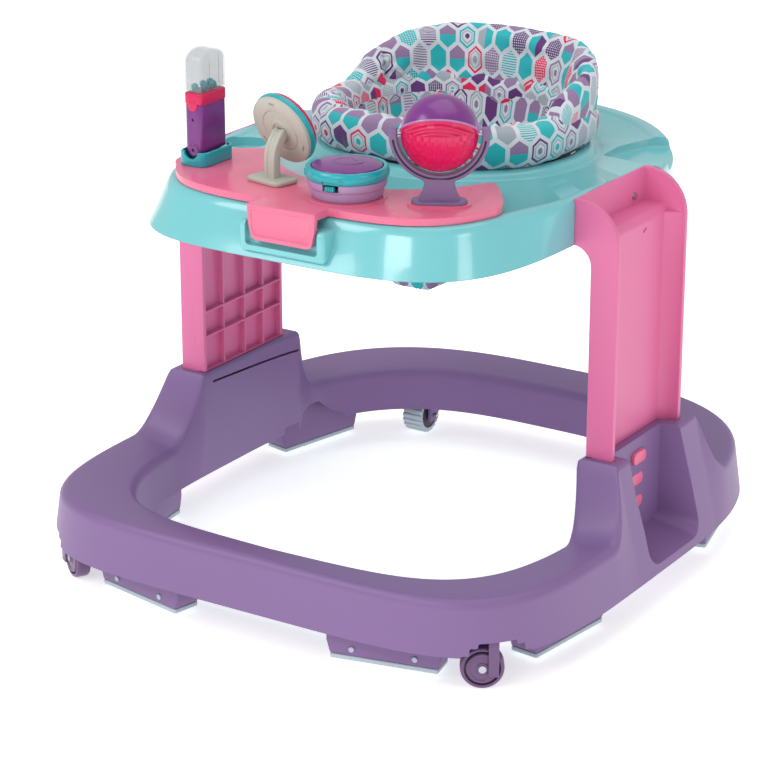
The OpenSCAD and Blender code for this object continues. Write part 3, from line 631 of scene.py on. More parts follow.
# ---------------- tray
# A single glossy aqua moulding: a skirt that flares out at the front, a rounded rim, a flat deck, and a
# raised ring round the seat hole. Recesses in the skirt and deck take the flap and a cup.
SPAN, HOLE_A, HOLE_B, SEAT_Y = 150, 140, 122, 70
FRONT_A, FRONT_B, BACK_A, BACK_B, FRONT_N, BACK_N = 232, 288, 266, 318, 4, 2.1


def tray_half(y):
    return mix(half_at(FRONT_A, FRONT_B, FRONT_N, min(y, 0)), half_at(BACK_A, BACK_B, BACK_N, max(y, 0)),
               smooth((y + 60) / 140))


def tray_point(s):
    if abs(s) <= 1:
        return tray_half(s * SPAN), s * SPAN
    a, b, n = (FRONT_A, FRONT_B, FRONT_N) if s < 0 else (BACK_A, BACK_B, BACK_N)
    x, y = on_oval(a, b, n, mix(asin((SPAN / b) ** (n / 2)), pi / 2, abs(s) - 1))
    return x, -y if s < 0 else y


def curved(points, steps=4):
    """A smooth line through all of the points."""
    line = []
    for i in range(len(points) - 1):
        p0, p1, p2, p3 = (np.array(points[min(max(i + d, 0), len(points) - 1)], float) for d in (-1, 0, 1, 2))
        for t in (j / steps for j in range(steps)):
            line.append(tuple(0.5 * (2 * p1 + (p2 - p0) * t + (2 * p0 - 5 * p1 + 4 * p2 - p3) * t**2
                                     + (3 * p1 - p0 - 3 * p2 + p3) * t**3)))
    return line + [tuple(points[-1])]


def tray_section(w, f, t):
    """Across the tray from its skirt to the seat hole, t inside the surface."""
    rim = curved([(t, TRAY_Z - (t > 0)), (f * 0.36 + t, 423), (f * 0.72 + t, 441),
                  (f * 0.9 + t, 450 - t * 0.7), (f + 2 + t, 455.4 - t), (f + 7 + t * 0.6, DECK_Z - t),
                  (f + 15, DECK_Z - t), (f + 19, 456 - t), (f + 22, 454.6 - t)])
    ring = curved([(w - 44, 454.6 - t), (w - 38, 452.4 - t), (w - 33, 452.4 - t), (w - 29, 457 - t),
                   (w - 25, 460 - t), (w - 18, 461 - t), (w - 10, 460.4 - t), (w - 5 - t * 0.6, 458 - t),
                   (w - 3 - t, 454 - t), (w - 3 - t, 435 - (t > 0))], 3)
    return rim + ring


def tray_loops(t):
    half = []
    for i in range(-80, 81):
        s = i / 40
        ox, oy = tray_point(s)
        a = s * pi / 4
        qx, qy = HOLE_A * cos(a), SEAT_Y + HOLE_B * sin(a)
        w = hypot(qx - ox, qy - oy)
        flare = 24 * smooth((LEG_FRONT - oy) / 120) if oy < 0 else 6
        across = tray_section(w, flare, t)
        half.append([(ox + (qx - ox) / w * c, oy + (qy - oy) / w * c, z) for c, z in across])
    return half + [[(-x, y, z) for x, y, z in loop] for loop in half[-2:0:-1]]


full = tray_loops(0)
tray = lofted(full)
combine(tray, lofted(tray_loops(WALL)))


def sunken(made, shape, grow):
    """Sinks a pocket of a shape into a moulding: the larger copy lines it, the smaller one empties it."""
    lining = lofted(full)
    combine(lining, shape(grow), "INTERSECT")
    combine(made, lining, "UNION")
    return combine(made, shape(0))


def flap_pocket(grow):
    return soften(block(-38 - grow, 58 + grow, -330, -284 + grow, 414 - grow, 490), 5)


def cup_pocket(grow):
    return disc(24 + grow, 445 - grow, 470, 64, place=(-196, -58, 0))


def corner_pocket(grow, k):
    outline = [(168, 108), (228, 100), (246, 118), (238, 168), (206, 214), (178, 196), (166, 150)]
    centre = np.mean(outline, axis=0)
    far = []
    for p in np.array(outline):
        x, y = p + (p - centre) / np.linalg.norm(p - centre) * grow
        far.append((k * x, y))
    return soften(upright(far, 445 - grow, 475), 4)


sunken(tray, flap_pocket, WALL)
sunken(tray, cup_pocket, WALL)
for k in (1, -1):
    sunken(tray, lambda grow: corner_pocket(grow, k), WALL)
    x0, x1 = sorted((k * 227, k * 230))
    wall = block(x0, x1, LEG_FRONT, LEG_BACK + 2, TRAY_Z, 480)
    x0, x1 = sorted((k * 227, k * 300))
    combine(wall, block(x0, x1, LEG_BACK + 0.4, LEG_BACK + 3.4, TRAY_Z, 480), "UNION")
    combine(wall, lofted(full), "INTERSECT")
    combine(tray, wall, "UNION")
    x0, x1 = sorted((k * 229.6, k * 330))
    combine(tray, block(x0, x1, LEG_FRONT - 0.4, LEG_BACK + 0.4, TRAY_Z - 10, 490))
combine(tray, disc(6.3, 400, 480, 32, place=(-164, -178, 0)))
rim = soften(block(-43, 63, -291.5, -264, 413.5, 447), 5, 4)
combine(rim, soften(block(-34.5, 54.5, -300, -283, 421.5, 470), 4, 4))
combine(tray, rim, "UNION")
AQUA = plastic("aqua_plastic", "72c3c8", rough=0.2, coat=0.5, edge=1.2, grain=0.1)
stand_in(tray, "tray", AQUA, "upper", "aqua", angle=32)

# ---------------- toy panel
# The rose panel that carries the toys: a crescent with a lobe round its pivot and a flap that hooks over
# the skirt as its catch. Low bosses stand under the drum and the ball.
TOY_Z, TOY_TOP, PIVOT = 457.4, 465.4, (-164, -178)
outer = []
for i in range(72):
    t = radians(mix(-164, -22, i / 71))
    x, y = on_oval(206, 264, FRONT_N, abs(t))
    outer.append((-x if t < -pi / 2 else x, -y))
inner = []
for i in range(43):
    t = radians(mix(-24, -150, i / 42))
    inner.append((154 * cos(t) + 4, 182 * sin(t)))


def rounded(points, at, reach):
    """The outline with one corner turned into a curve, its points nearer than reach taken away."""
    corner = np.array(points[at], float)
    kept = [p for i, p in enumerate(points) if i != at and dist(p, corner) > reach or abs(i - at) > 12]
    place = kept.index(next(p for p in points[at + 1 :] if p in kept))
    a, b = np.array(kept[place - 1]), np.array(kept[place])
    shares = [j / 8 for j in range(1, 8)]
    curve = [tuple((1 - t) ** 2 * a + 2 * t * (1 - t) * corner + t * t * b) for t in shares]
    return kept[:place] + curve + kept[place:]


edge = rounded(rounded(outer + inner, len(outer), 12), len(outer) - 1, 12)
panel = upright(edge, TOY_Z, TOY_TOP)
combine(panel, disc(34, TOY_Z, TOY_TOP, 64, place=(*PIVOT, 0)), "UNION")
combine(panel, block(-30, 50, -291, -250, TOY_Z, TOY_TOP), "UNION")
flap = [(-32, TOY_TOP), (-31, 446), (-27, 430), (-22, 427.6), (42, 427.6), (47, 430), (51, 446),
        (52, TOY_TOP)]
combine(panel, prism(flap, -291, -285.6), "UNION")
soften(panel, 2.6, 4)
sunk = prism([(-27.5, 460), (-26, 436), (-23, 432), (43, 432), (46, 436), (47.5, 460)], -292, -290.2)
combine(panel, soften(sunk, 0.6, 2))
combine(panel, disc(6.05, TOY_Z - 1, TOY_Z + 4, 32, place=(*PIVOT, 0)))
for x, y, a, b, turn, rise in ((138, -190, 66, 32, 28.6, 2.4), (40, -212, 84, 84, 8, 1.2)):
    boss = block(-a / 2, a / 2, -b / 2, b / 2, -3, rise, min(a, b) / 2 - 0.6, 10)
    combine(panel, moved(boss, ("Z", turn), place=(x, y, TOY_TOP)), "UNION")
PANEL_ROSE = plastic("panel_rose", "e66c8f", rough=0.28, coat=0.25, edge=1.2, grain=0.15)
settle(panel, "toy_panel_piece", PANEL_ROSE, "toy_panel", "rose", "toy_tray", angle=32)

# ---------------- rattle
# A rocking rattle: a teal cup screwed to the panel, a plum body on an axle across the cup, a magenta collar
# and a clear arched window with beads in it.
TEAL = plastic("teal_plastic", "12a5ae", rough=0.28, coat=0.2, edge=0.8)
PLUM = plastic("plum_plastic", "74277f", rough=0.26, coat=0.2, edge=0.8)
MAGENTA = plastic("magenta_plastic", "d40052", rough=0.3, coat=0.1, edge=0.8)
at = (*PIVOT, TOY_TOP)
cup = soften(block(-18, 18, -29, 29, 0, 16, 10), 1.4)
drilled(cup, block(-15.5, 15.5, -26, 26, 3, 20, 7), disc(9, -32, -20, 40, "Y", (0, 0, 17)),
        disc(9, 20, 32, 40, "Y", (0, 0, 17)))
cup = joined(cup, disc(2.4, -16, 16, 24, "X", (0, 0, 9)))
stand_in(moved(cup, place=at), "rattle_cup", TEAL, "toy_panel", "teal")
body = joined(
    soften(block(-12, 12, -23, 23, 15, 70, 6, 8), 1.2),
    disc(5.4, -11.8, 11.8, 32, "X", (0, 0, 9)),
    soften(disc(7, -24.4, 24.4, 40, "Y", (0, 0, 17)), 1),
    block(-11.8, 11.8, -5.4, 5.4, 9, 16),
)
drilled(body, disc(2.45, -20, 20, 24, "X", (0, 0, 9)), disc(2, -30, -21.5, 24, "Y", (0, 0, 50)),
        disc(2, -30, -22.5, 24, "Y", (0, 0, 17)), block(-13, 13, -15, 15, 12.2, 13.4))
stand_in(moved(body, place=at), "rattle_body", PLUM, "rattle", "plum")
collar = joined(soften(block(-12.6, 12.6, -23.6, 23.6, 67, 79, 6, 8), 1.2),
                soften(disc(6.4, -24.2, 24.2, 40, "Y", (0, 0, 66)), 0.8))
stand_in(moved(collar, place=at), "rattle_collar", MAGENTA, "rattle", "magenta")


def arch_box(inset):
    turns = [i * pi / 20 for i in range(1, 20)]
    side = [(-23 + inset, 79 + inset), (-23 + inset, 112)]
    side += [(-(23 - inset) * cos(a), 112 + (14 - inset) * sin(a)) for a in turns]
    side += [(23 - inset, 112), (23 - inset, 79 + inset)]
    return lofted([[(x, y, z) for y, z in side] for x in (-12 + inset, 12 - inset)], close=False)


window = soften(arch_box(0), 3.2, 5)
combine(window, soften(arch_box(1.8), 2, 4))
CLEAR = Finish("clear_plastic", Base_Color=(0.3, 0.35, 0.37, 1), Alpha=0.24, Roughness=0.06,
               Coat_Weight=0.6, IOR=1.49).material
stand_in(moved(window, place=at), "rattle_window", CLEAR, "rattle", "clear")
seams = []
for y in (-8, 9):
    seams.append(moved(soften(block(11.6, 12.35, y - 0.5, y + 0.5, 82, 116), 0.2, 1), place=at))
only(*seams)
bpy.ops.object.join()
settle(bpy.context.object, "rattle_seams", CLEAR, "rattle", "clear")

# ---------------- mirror
# A beige foot and a bent beige column carry a round back plate with a teal rim. On its far side, toward
# the child, a magenta ring with an acrylic mirror spins on a short hub.
BEIGE = plastic("beige_plastic", "b9b8ac", rough=0.4, edge=1.0)
MIRROR_AT, MIRROR_YAW, DISC_Z, TILT = (-57, -208), -12, TOY_TOP + 51, 22
foot = soften(block(-25, 25, -17, 17, 0, 5, 8, 8), 1.6)
path = [(0, 3), (0, 12), (0, 22), (0.5, 29), (2.5, 36), (6, 42.5), (10.5, 48), (14.6, 51.6)]
stem = [(-8, -4), (-7, -5.4), (-3.4, -5.4), (-2.4, -3.8), (2.4, -3.8), (3.4, -5.4), (7, -5.4), (8, -4),
        (8, 4), (7, 5), (-7, 5), (-8, 4)]
loops = []
for i, (y, z) in enumerate(path):
    before, after = path[max(i - 1, 0)], path[min(i + 1, len(path) - 1)]
    dy, dz = after[0] - before[0], after[1] - before[1]
    reach = hypot(dy, dz)
    ny, nz = dz / reach, -dy / reach
    loops.append([(x, y + ny * t, z + nz * t) for x, t in stem])
column = soften(lofted(loops, close=False), 0.7, 2)
arm = joined(foot, column)
moved(arm, ("Z", MIRROR_YAW), place=(*MIRROR_AT, TOY_TOP))
stand_in(arm, "mirror_arm", BEIGE, "toy_panel", "beige")


def on_mirror(made):
    return moved(made, ("X", -90 + TILT), ("Z", MIRROR_YAW), place=(MIRROR_AT[0], MIRROR_AT[1] + 16, DISC_Z))


plate = spun([(3, 0), (9, 0), (9.6, -1.2), (13, -1.2), (13.6, 0), (23, 0), (23.5, 0.7),
              (24.5, 0.7), (25, 0), (37.5, 0), (39.4, 0.8), (40, 2.2), (40, 4), (3, 4)], 96)
for turn in (-90, 30, 150):
    x, y = 33 * cos(radians(turn)), 33 * sin(radians(turn))
    combine(plate, moved(block(-4, 4, -1, 1, -2, 1.2, 0.9), ("Z", turn + 90), place=(x, y, 0)))
stand_in(on_mirror(plate), "mirror_plate", BEIGE, "toy_panel", "beige")
ring = spun([(3, 4), (39.4, 4), (40.4, 4.6), (41, 6), (41, 9), (40.4, 10.4), (39.4, 11), (3, 11)],
            128)
stand_in(on_mirror(ring), "mirror_rim", TEAL, "toy_panel", "teal")
spinner = spun([(0, 0.5), (2.95, 0.5), (2.95, 11.4), (36.5, 11.4), (37.6, 12.2), (38, 13.6),
                (37.4, 15.4), (35.8, 16.4), (31.5, 16.4), (31, 15.6), (0, 15.6)], 128)
stand_in(on_mirror(spinner), "mirror_spinner", MAGENTA, "mirror_spinner", "magenta")
glass = Finish("mirror_glass", Base_Color=(0.86, 0.88, 0.9, 1), Metallic=1.0, Roughness=0.05)
face = spun([(0, 15.8), (30.6, 15.8), (30.6, 16.0), (30.2, 16.1), (0, 16.1)], 96)
settle(on_mirror(face), "mirror_face", glass.material, "mirror_spinner", "steel")

# ---------------- drum
# The drum is a stepped lilac bowl, a teal ring and a domed plum key with a raised swirl. A ribbed slide
# switch and small raised marks sit on the ring.
BOWL = plastic("bowl_plastic", "ab92ba", rough=0.36, edge=0.8)
LILAC = plastic("lilac_plastic", "7c608d", rough=0.34, edge=0.8)
DRUM_AT, DRUM_YAW, DRUM_R = (40, -212), 8, 44


def on_drum(made, z=0):
    return moved(made, ("Z", DRUM_YAW), place=(*DRUM_AT, TOY_TOP + z))


bowl = spun([(0, 0), (33, 0), (35.6, 0.8), (37.4, 3), (38.4, 8), (38.8, 11.4), (40.4, 12.6),
             (41.4, 15), (42, 21), (32, 21), (32, 2.5), (0, 2.5)], 128)
combine(bowl, block(-9, 9, -45, -30, 14, 23))
stand_in(on_drum(bowl), "drum_bowl", BOWL, "toy_panel", "lilac")
band = spun([(32, 0), (41.6, 0), (43.2, 1.4), (44, 4), (44, 8), (43.2, 11), (41.4, 12.8),
             (39.6, 13), (38, 12.2), (38, 4), (32, 4)], 128)
marks = []
for turn in (-152, -118, -74, -30):
    mark = spun([(1.7, -0.7), (2.9, -0.7), (2.9, 0.7), (1.7, 0.7)], 24)
    combine(mark, block(0, 4, -1, 4, -1, 1))
    if turn in (-152, -74):
        combine(mark, block(-0.6, 0.6, -3.6, 0.4, -0.7, 0.7), "UNION")
    marks.append(moved(mark, ("X", 90), ("Z", turn + 90),
                       place=(43.8 * cos(radians(turn)), 43.8 * sin(radians(turn)), 6.5)))
band = joined(band, *marks)
combine(band, block(-9, 9, -45, -40.5, -1, 4))
stand_in(on_drum(band, 21), "drum_ring", TEAL, "toy_panel", "teal")
key = spun([(0, 0), (36.6, 0), (37.4, 0.8), (37.4, 3.6), (36.4, 5.2), (32, 6.6), (24, 7.9), (12, 9),
            (0, 9.4)], 128)
swirl = []
for i in range(40):
    a = radians(20 + i * 9)
    r = 8 + 7 * i / 39
    crest = 9.9 - r * 0.06
    swirl.append([((r + dr) * cos(a) * 1.15, (r + dr) * sin(a), z)
                  for dr, z in ((-1.3, 6), (-1, crest), (1, crest), (1.3, 6))])
key = joined(key, lofted(swirl, close=False))
stand_in(on_drum(key, 29), "drum_key", PLUM, "drum_key", "plum")
switch = soften(block(-5, 5, -DRUM_R - 0.6, -DRUM_R + 4, 0.2, 5.2), 0.7, 2)
for x in (-3, -1, 1, 3):
    combine(switch, block(x - 0.35, x + 0.35, -DRUM_R - 1, -DRUM_R + 0.2, -1, 6))
stand_in(on_drum(switch, 15), "drum_switch", TEAL, "drum_switch", "teal")

# ---------------- spinner ball
# A two-colour hollow ball on a steel axle in a lilac C-shaped fork with a grooved face, a flared neck and a
# rounded foot. The magenta half has scales below a wave, both made as bump in its material.
BALL_AT, BALL_YAW, BALL_Z, BALL_R, SEAM = (138, -190), 28.6, TOY_TOP + 76, 40, 33
SCALE_W, SCALE_H, WAVE_Z = 0.0072, 0.0052, 0.006


def on_ball(made):
    return moved(made, ("Z", BALL_YAW), place=(*BALL_AT, BALL_Z))


def dome(radius, thick, low):
    """Outline of a hollow half ball that stops a little above its flat side."""
    start = asin(low / radius)
    turns = [mix(start, pi / 2, i / 20) for i in range(21)]
    inside = [mix(asin(low / (radius - thick)), pi / 2, i / 20) for i in range(21)]
    return [(radius * cos(a), radius * sin(a)) for a in turns] + [
        ((radius - thick) * cos(a), (radius - thick) * sin(a)) for a in inside[::-1]]


scale = Finish("magenta_scales", Coat_Weight=0.15, Coat_Roughness=0.05, Roughness=0.24,
               Base_Color=colour("e00055"))
spot = scale.add("Mapping", {"vector_type": "POINT"}, scale.add("TexCoord", {}, out="Object"),
                 (-0.138, 0.190, -0.541), (0, 0, 0), (1, 1, 1))
spot = scale.add("VectorRotate", {"rotation_type": "Z_AXIS"}, spot, Angle=radians(-BALL_YAW))
axes = scale.add("SeparateXYZ", {}, spot).socket.node.outputs
across, up = Signal(scale, axes[0]), Signal(scale, axes[2])
shift = ((up / SCALE_H).floor() % 2.0) * (SCALE_W / 2)
u = ((across + shift) % SCALE_W) / SCALE_W - 0.5
v = (up % SCALE_H) / SCALE_H
arc = (v + u * u * 1.6) * (up < WAVE_Z)
ripple = ((up * 900.0 + across * across * 9000.0).sine() * 0.5 + 0.5) * (up > WAVE_Z)
SCALES = scale.feed(Normal=scale.add("Bump", {}, Strength=1.0, Distance=0.003, Height=arc + ripple))
for name, flip, paint, slot, node in (("ball_cap", 0, PLUM, "plum", "ball_upper"),
                                      ("ball_scales", 180, SCALES, "magenta", "ball_lower")):
    shell = moved(spun(dome(BALL_R, 2.5, 0.3), 96), ("X", flip - SEAM))
    combine(shell, disc(3.05, -42, 42, 24, "X"))
    settle(on_ball(shell), name, paint, "ball", slot, node)
lip = moved(spun([(37.6, -1), (40.6, -1), (41.4, -0.5), (41.4, 0.5), (40.6, 1), (37.6, 1)], 96),
            ("X", -SEAM))
CRESCENT = plastic("crescent_plastic", "a97fb5", rough=0.2, coat=0.3, edge=0.5)
settle(on_ball(lip), "ball_lip", CRESCENT, "ball", "lilac")


def swept(section, start, end, steps):
    """Loops of (radius, y) points carried round the ball's axle, between two angles in degrees."""
    turns = [radians(mix(start, end, i / steps)) for i in range(steps + 1)]
    return [[(r * cos(a), y, r * sin(a)) for r, y in section] for a in turns]


rail = [(43.4, -5), (44.4, -6), (50.6, -6), (51.8, -4.8), (51.8, 4.8), (50.6, 6), (44.4, 6), (43.4, 5)]
hoop = lofted(swept(rail, -187, 7, 60), close=False)
groove = swept([(46.6, -8), (46.6, -3.6), (48.8, -3.6), (48.8, -8)], -172, -8, 48)
combine(hoop, lofted(groove, close=False))
# A thin dark sheet laid on the groove's floor: painted shade in the groove.
groove_shade_sheet = [[(x * 0.999, y * 0.5 - 0.3 if y < -5 else y + 0.2, z * 0.999) for x, y, z in ring]
          for ring in groove]
strip = lofted(groove_shade_sheet, close=False)
settle(on_ball(strip), "ball_fork_groove_shade", DARK, "toy_panel", "dark")
low = -(BALL_Z - TOY_TOP)
neck = prism([(-18, -47.5), (-15, -52), (-17, -60), (-22, low + 5), (22, low + 5), (17, -60),
              (15, -52), (18, -47.5)], -6, 6)
foot = soften(block(-29, 29, -13, 13, low, low + 6, 12, 10), 1.8)
hoop = joined(hoop, soften(neck, 1.0, 2), foot)
drilled(hoop, disc(3.05, -60, 60, 24, "X"))
stand_in(on_ball(hoop), "ball_fork", LILAC, "toy_panel", "lilac")

# ---------------- padded fabric seat
# Printed polyester over foam: a thick roll round the seat hole, a raised back with two side wings sewn to
# it, and a thin bag with two leg holes hung from the ring. The print is rows of long hexagons.
PAD_A, PAD_B, PAD_N, ROLL_Z, ROLL_R, PAD_CAP = 134, 117, 2.6, 486, 28, 5
WEAVE_W, WEAVE_P, WEAVE_H, GEM_W, BROAD_STRIPE, FINE_STRIPE = 0.023, 0.031, 0.038, 0.01, 0.0031, 0.0027
fabric = Finish("gem_fabric", Roughness=0.78, Sheen_Weight=0.25, Sheen_Roughness=0.5)
spot = fabric.add("SeparateXYZ", {}, fabric.add("UVMap", {"uv_map": "cut"}))
across, up = spot, Signal(fabric, spot.socket.node.outputs[1])
WHITE, GREY, TEAL_INK, LILAC_INK = colour("ccd3d9"), colour("9fa9b2"), colour("14aeb4"), colour("8f7299")
shown = None
for lattice in (0, 1):
    x = across + lattice * WEAVE_W / 2 + 1
    y = up + lattice * WEAVE_P + 1
    column, row = (x / WEAVE_W).floor(), (y / (2 * WEAVE_P)).floor()
    x = x - (column + 0.5) * WEAVE_W
    y = y - (row + 0.5) * (2 * WEAVE_P)
    inside = (abs(x) / GEM_W).max((abs(y) + abs(x) * 0.96) / (WEAVE_H / 2))
    cell = fabric.add("CombineXYZ", {}, column * 1.7 + 0.31, row * 2.3 + lattice * 7.9, 0.5)
    chance = fabric.add("TexWhiteNoise", {"noise_dimensions": "3D"}, cell)
    parts = fabric.add("SeparateColor", {}, Signal(fabric, chance.socket.node.outputs[1]))
    style, tint, other = (Signal(fabric, parts.socket.node.outputs[i]) for i in range(3))
    inks = []
    for pick in (tint, other):
        ramp = fabric.add("ValToRGB", {}, pick)
        band = ramp.socket.node.color_ramp
        band.interpolation = "CONSTANT"
        band.elements[1].position = 0.84
        band.elements[1].color, band.elements[0].color = colour("9aa4ae"), colour("5d2470")
        for place, code in ((0.22, "14aeb4"), (0.46, "e0004e"), (0.62, "8f7299")):
            band.elements.new(place).color = colour(code)
        inks.append(ramp)
    first, second = inks
    gem = fabric.blend((style > 0.24) * (((y % BROAD_STRIPE) / BROAD_STRIPE) > 0.5), first, WHITE)
    gem = fabric.blend((style > 0.36) * (1 - (((x + 1) % FINE_STRIPE) / FINE_STRIPE > 0.5)), gem, first)
    rings = fabric.blend(inside > 0.5, fabric.blend(inside > 0.26, second, WHITE), GREY)
    rings = fabric.blend(inside > 0.74, rings, first)
    rings = fabric.blend((inside > 0.62) * (inside < 0.74), rings, WHITE)
    gem = fabric.blend(style > 0.52, gem, rings)
    gem = fabric.blend((style > 0.78) * (x > 0), gem, second)
    gem = fabric.blend((style > 0.78) * (x < 0), gem, first)
    gem = fabric.blend((style > 0.89) * (y > 0), gem, LILAC_INK)
    gem = fabric.blend((style > 0.89) * (y < 0), gem, TEAL_INK)
    gem = fabric.blend(inside < 0.93, WHITE, gem)
    shown = gem if shown is None else fabric.blend(inside < 1, shown, gem)
threads = (across * 5200.0).sine() * 0.5 + (up * 5200.0).sine() * 0.5
puckers = fabric.add("TexNoise", {}, fabric.add("TexCoord", {}, out="Object"), Scale=34.0, Detail=3.0)
bumps = fabric.add("Bump", {}, Strength=0.35, Distance=0.0015, Height=threads * 0.08 + puckers)
fabric_paint = fabric.feed(Base_Color=shown, Normal=bumps)


def pad_point(degrees, off):
    """A plan point of the padding, at an angle and a distance outward from the roll's middle line."""
    t = radians(degrees)
    return (copysign((PAD_A + off) * abs(cos(t)) ** (2 / PAD_N), cos(t)),
            SEAT_Y + copysign((PAD_B + off) * abs(sin(t)) ** (2 / PAD_N), sin(t)))


def where(points):
    """Angle, distance off the middle line and height of mesh points, in degrees and millimetres."""
    x, y = points[:, 0] / MM, points[:, 1] / MM - SEAT_Y
    fx, fy = np.abs(x) / PAD_A, np.abs(y) / PAD_B
    rho = (fx**PAD_N + fy**PAD_N) ** (1 / PAD_N) + 1e-9
    t = np.degrees(np.arctan2(np.sign(y) * fy ** (PAD_N / 2), np.sign(x) * fx ** (PAD_N / 2)))
    return np.where(t < -90, t + 360, t), (rho - 1) * np.hypot(x, y) / rho, points[:, 2] / MM


TURN = np.linspace(-90, 270, 361)
LOOP = np.array([pad_point(t, 0) for t in TURN])
RUN = np.concatenate([[0], np.cumsum(np.hypot(*np.diff(LOOP, axis=0).T))])


def coordinates(made):
    points = np.empty(len(made.data.vertices) * 3)
    made.data.vertices.foreach_get("co", points)
    return points.reshape(-1, 3)


def stuffed(made, pinned):
    """Fills a closed cover like a cushion: an even mesh, cloth under pressure, no point past PAD_CAP."""
    finish_modifier(made, "REMESH", mode="VOXEL", voxel_size=5 * MM)
    before = coordinates(made)
    held = made.vertex_groups.new(name="sewn")
    for i, on in enumerate(pinned(*where(before))):
        if on:
            held.add([i], 1.0, "REPLACE")
    only(made)
    worked = made.modifiers.new("cloth", "CLOTH")
    cloth = worked.settings
    cloth.use_pressure, cloth.uniform_pressure_force = True, 4.0
    cloth.vertex_group_mass = "sewn"
    cloth.shrink_min = -0.06
    cloth.bending_stiffness = 0.3
    cloth.effector_weights.gravity = 0
    worked.point_cache.frame_start, worked.point_cache.frame_end = 1, 20
    for frame_at in range(1, 21):
        scene.frame_set(frame_at)
    bpy.ops.object.modifier_apply(modifier="cloth")
    scene.frame_set(1)
    made.vertex_groups.clear()
    step = coordinates(made) - before
    far = np.linalg.norm(step, axis=1, keepdims=True)
    after = before + step * np.minimum(1, PAD_CAP * MM / np.maximum(far, 1e-9))
    made.data.vertices.foreach_set("co", after.ravel())
    finish_modifier(made, "SMOOTH", factor=0.5, iterations=3)
    return finish_modifier(made, "SUBSURF", levels=1)


def pushed(made, distance):
    """Moves each point along its normal by a distance in millimetres, worked out from where it is."""
    points = coordinates(made)
    normals = np.empty(points.size)
    made.data.vertices.foreach_get("normal", normals)
    points += normals.reshape(-1, 3) * distance(*where(points))[:, None] * MM
    made.data.vertices.foreach_set("co", points.ravel())
    made.data.update()


def cut_map(made, upward, shift=0.0):
    """Lays the print on a piece in metres: along the roll, and upward from a function of where a point is."""
    t, off, z = where(coordinates(made))
    u, v = np.interp(t, TURN, RUN) * MM + shift, upward(t, off, z) * MM
    corners = np.empty(len(made.data.loops), dtype=int)
    made.data.loops.foreach_get("vertex_index", corners)
    starts = np.array([p.loop_start for p in made.data.polygons])
    sizes = np.array([p.loop_total for p in made.data.polygons])
    face = np.repeat(np.arange(len(starts)), sizes)
    pairs = []
    for value, whole in ((u[corners], RUN[-1] * MM), (v[corners], 2 * pi * ROLL_R * MM)):
        top = np.maximum.reduceat(value, starts)[face]
        pairs.append(np.where(top - value > whole / 2, value + whole, value))
    layer = made.data.uv_layers.new(name="cut")
    layer.data.foreach_set("uv", np.column_stack(pairs).ravel())


def top_of(t):
    """Height of the back's upper edge at an angle, lowest at the wings' tips."""
    low = np.clip(np.minimum((t + 16) / 18, (196 - t) / 26), 0, 1)
    rise = np.sin(np.radians(np.where(t < 90, 26 + t * 64 / 90, np.clip(10 + t * 160 / 180, 3, 177)))) ** 0.6
    return (495 + 70 * rise) * low + 494 * (1 - low)


def gathers(t, seam, z, reach, pitch):
    """Small folds that run out from a seam at an angle."""
    side = (t - seam) * 2.1
    return np.exp(-((side / reach) ** 2)) * np.sin(z * 2 * pi / pitch + 2.2 * np.sin(z / 9.0) + side / 9)


roll_section = [(copysign(18 * abs(cos(a)) ** 0.7, cos(a)),
                 ROLL_Z - 2 + copysign(25 * abs(sin(a)) ** 0.7, sin(a)))
                for a in (i * pi / 14 for i in range(28))]
roll = lofted([[(*pad_point(t, c), z) for c, z in roll_section] for t in range(0, 360, 4)])
stuffed(roll, lambda t, off, z: z < 463)


def roll_folds(t, off, z):
    over = np.exp(-(((np.degrees(np.arctan2(z - ROLL_Z, off)) - 105) / 60) ** 2))
    corners = sum(np.exp(-(((t - s) / 17) ** 2)) for s in (221, -41))
    seams = sum(np.exp(-(((t - s) / 1.8) ** 2)) for s in (232, -52))
    soft = 1.3 * np.sin(t / 2.6 + 1.6 * np.sin(t / 7)) + 2.0 * corners * np.sin(t / 1.25 + off / 9)
    return (z > 470) * (over * soft - 2.4 * seams)


pushed(roll, roll_folds)
cut_map(roll, lambda t, off, z: ROLL_R * np.arctan2(z - ROLL_Z, off))
settle(roll, "seat_roll", fabric_paint, "upper", "fabric", "seat_rim_pad", angle=180)

loops = []
for t in range(-16, 197, 4):
    top = float(top_of(np.array(t)))
    shape = [(14, 468), (16, 492), (16, mix(492, top, 0.6)), (15, top - 6), (12, top - 1), (7, top),
             (2, top - 4), (-3, mix(492, top, 0.75)), (-8, mix(492, top, 0.45)), (-11, 492), (-10, 474),
             (4, 468)]
    loops.append([(*pad_point(t, c), z) for c, z in shape])
back = lofted(loops, close=False)
stuffed(back, lambda t, off, z: (z < 484) | ((off < 2) & ((abs(t - 160) < 1.6) | (abs(t - 20) < 1.6))))


def back_folds(t, off, z):
    inner = 1 / (1 + np.exp(off / 2.5))
    folds = sum(gathers(t, s, z, 13, 15) * 1.9 - 8 * np.exp(-(((t - s) * 2.1 / 2.8) ** 2)) for s in (160, 20))
    low = np.exp(-(((z - 512) / 16) ** 2)) * np.sin(t / 2.7 + 2 * np.sin(t / 11)) * 1.2
    outer = 0.8 * np.exp(-(((z - 500) / 8) ** 2))
    return inner * (folds * np.clip((z - 495) / 12, 0, 1) + low) - (1 - inner) * outer


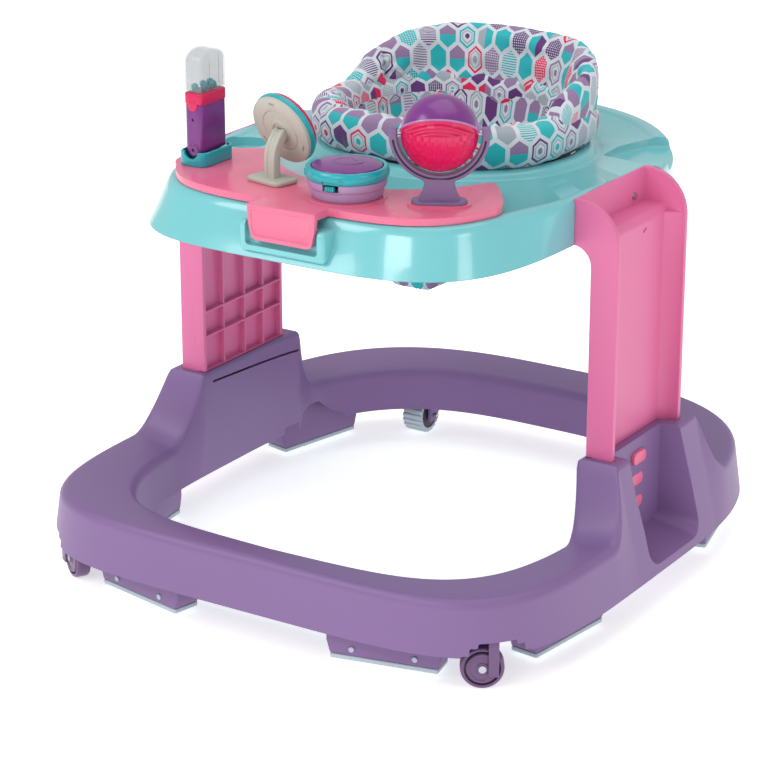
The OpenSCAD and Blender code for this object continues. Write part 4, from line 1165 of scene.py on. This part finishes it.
pushed(back, back_folds)
cut_map(back, lambda t, off, z: top_of(t) - (top_of(t) - z) * np.clip((9 - off) / 6, -1, 1) + off * 0.6,
        0.006)
settle(back, "seat_back", fabric_paint, "upper", "fabric", "seat_back_pad", angle=180)

LEVELS = [(-12, 1, 0, 492), (-17, 1, 0, 470), (-21, 0.99, 0, 440), (-26, 0.97, -4, 402),
          (-42, 0.94, -18, 370), (-64, 0.9, -44, 342), (-94, 0.86, -76, 317), (-112, 0.8, -90, 308)]


def bag(inset):
    """The bag as a closed form from its rim to its bottom, drawn in by an inset."""
    loops = []
    for off, squeeze, shift, z in LEVELS:
        ring = []
        for i in range(72):
            x, y = pad_point(i * 5, off - inset + (1.2 * sin(i * 1.9) if z < 465 else 0))
            ring.append((x, SEAT_Y + (y - SEAT_Y) * squeeze + shift, z + (inset if z < 309 else 0)))
        loops.append(ring)
    return lofted(loops, close=False)


bag_out, bag_in = bag(0), bag(1.4)
moved(bag_in, place=(0, 0, 0.02))
combine(bag_out, bag_in)
drilled(bag_out, block(-200, 200, -200, 300, 488, 500))
for x in (-48, 48):
    combine(bag_out, disc(32, -110, 0, 48, "Y", (x, 10, 345)))
cut_map(bag_out, lambda t, off, z: 0.8 * (z + off))
settle(bag_out, "seat_bag", fabric_paint, "upper", "fabric", "seat_sling", angle=40)

# ---------------- small carried parts
# Steel sockets, axles, screws and pins, the dark latches and seat ring, the drum's electronics and the
# rattle's beads keep the frame's own shapes.
BOARD = plastic("board_green", "1f5a3a", rough=0.45, edge=0.2)
CARRIED = (
    (STEEL.material, ("caster_sockets", "caster_axle_left", "caster_axle_right", "rear_axles", "leg_screws",
                      "pivot_post", "drum_batteries", "ball_axle")),
    (DARK, ("height_latches", "seat_ring", "drum_speaker")),
    (PURPLE, ("rear_brackets",)),
    (PALE, ("pad_pegs",)),
    (TEAL, ("rattle_beads",)),
    (BOARD, ("drum_board",)),
)
for paint, nodes in CARRIED:
    for node in nodes:
        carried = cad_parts[node]
        carried.data.materials.clear()
        carried.data.materials.append(paint)

# ---------------- last
# Leaves the base shell selected and active.
only(base)
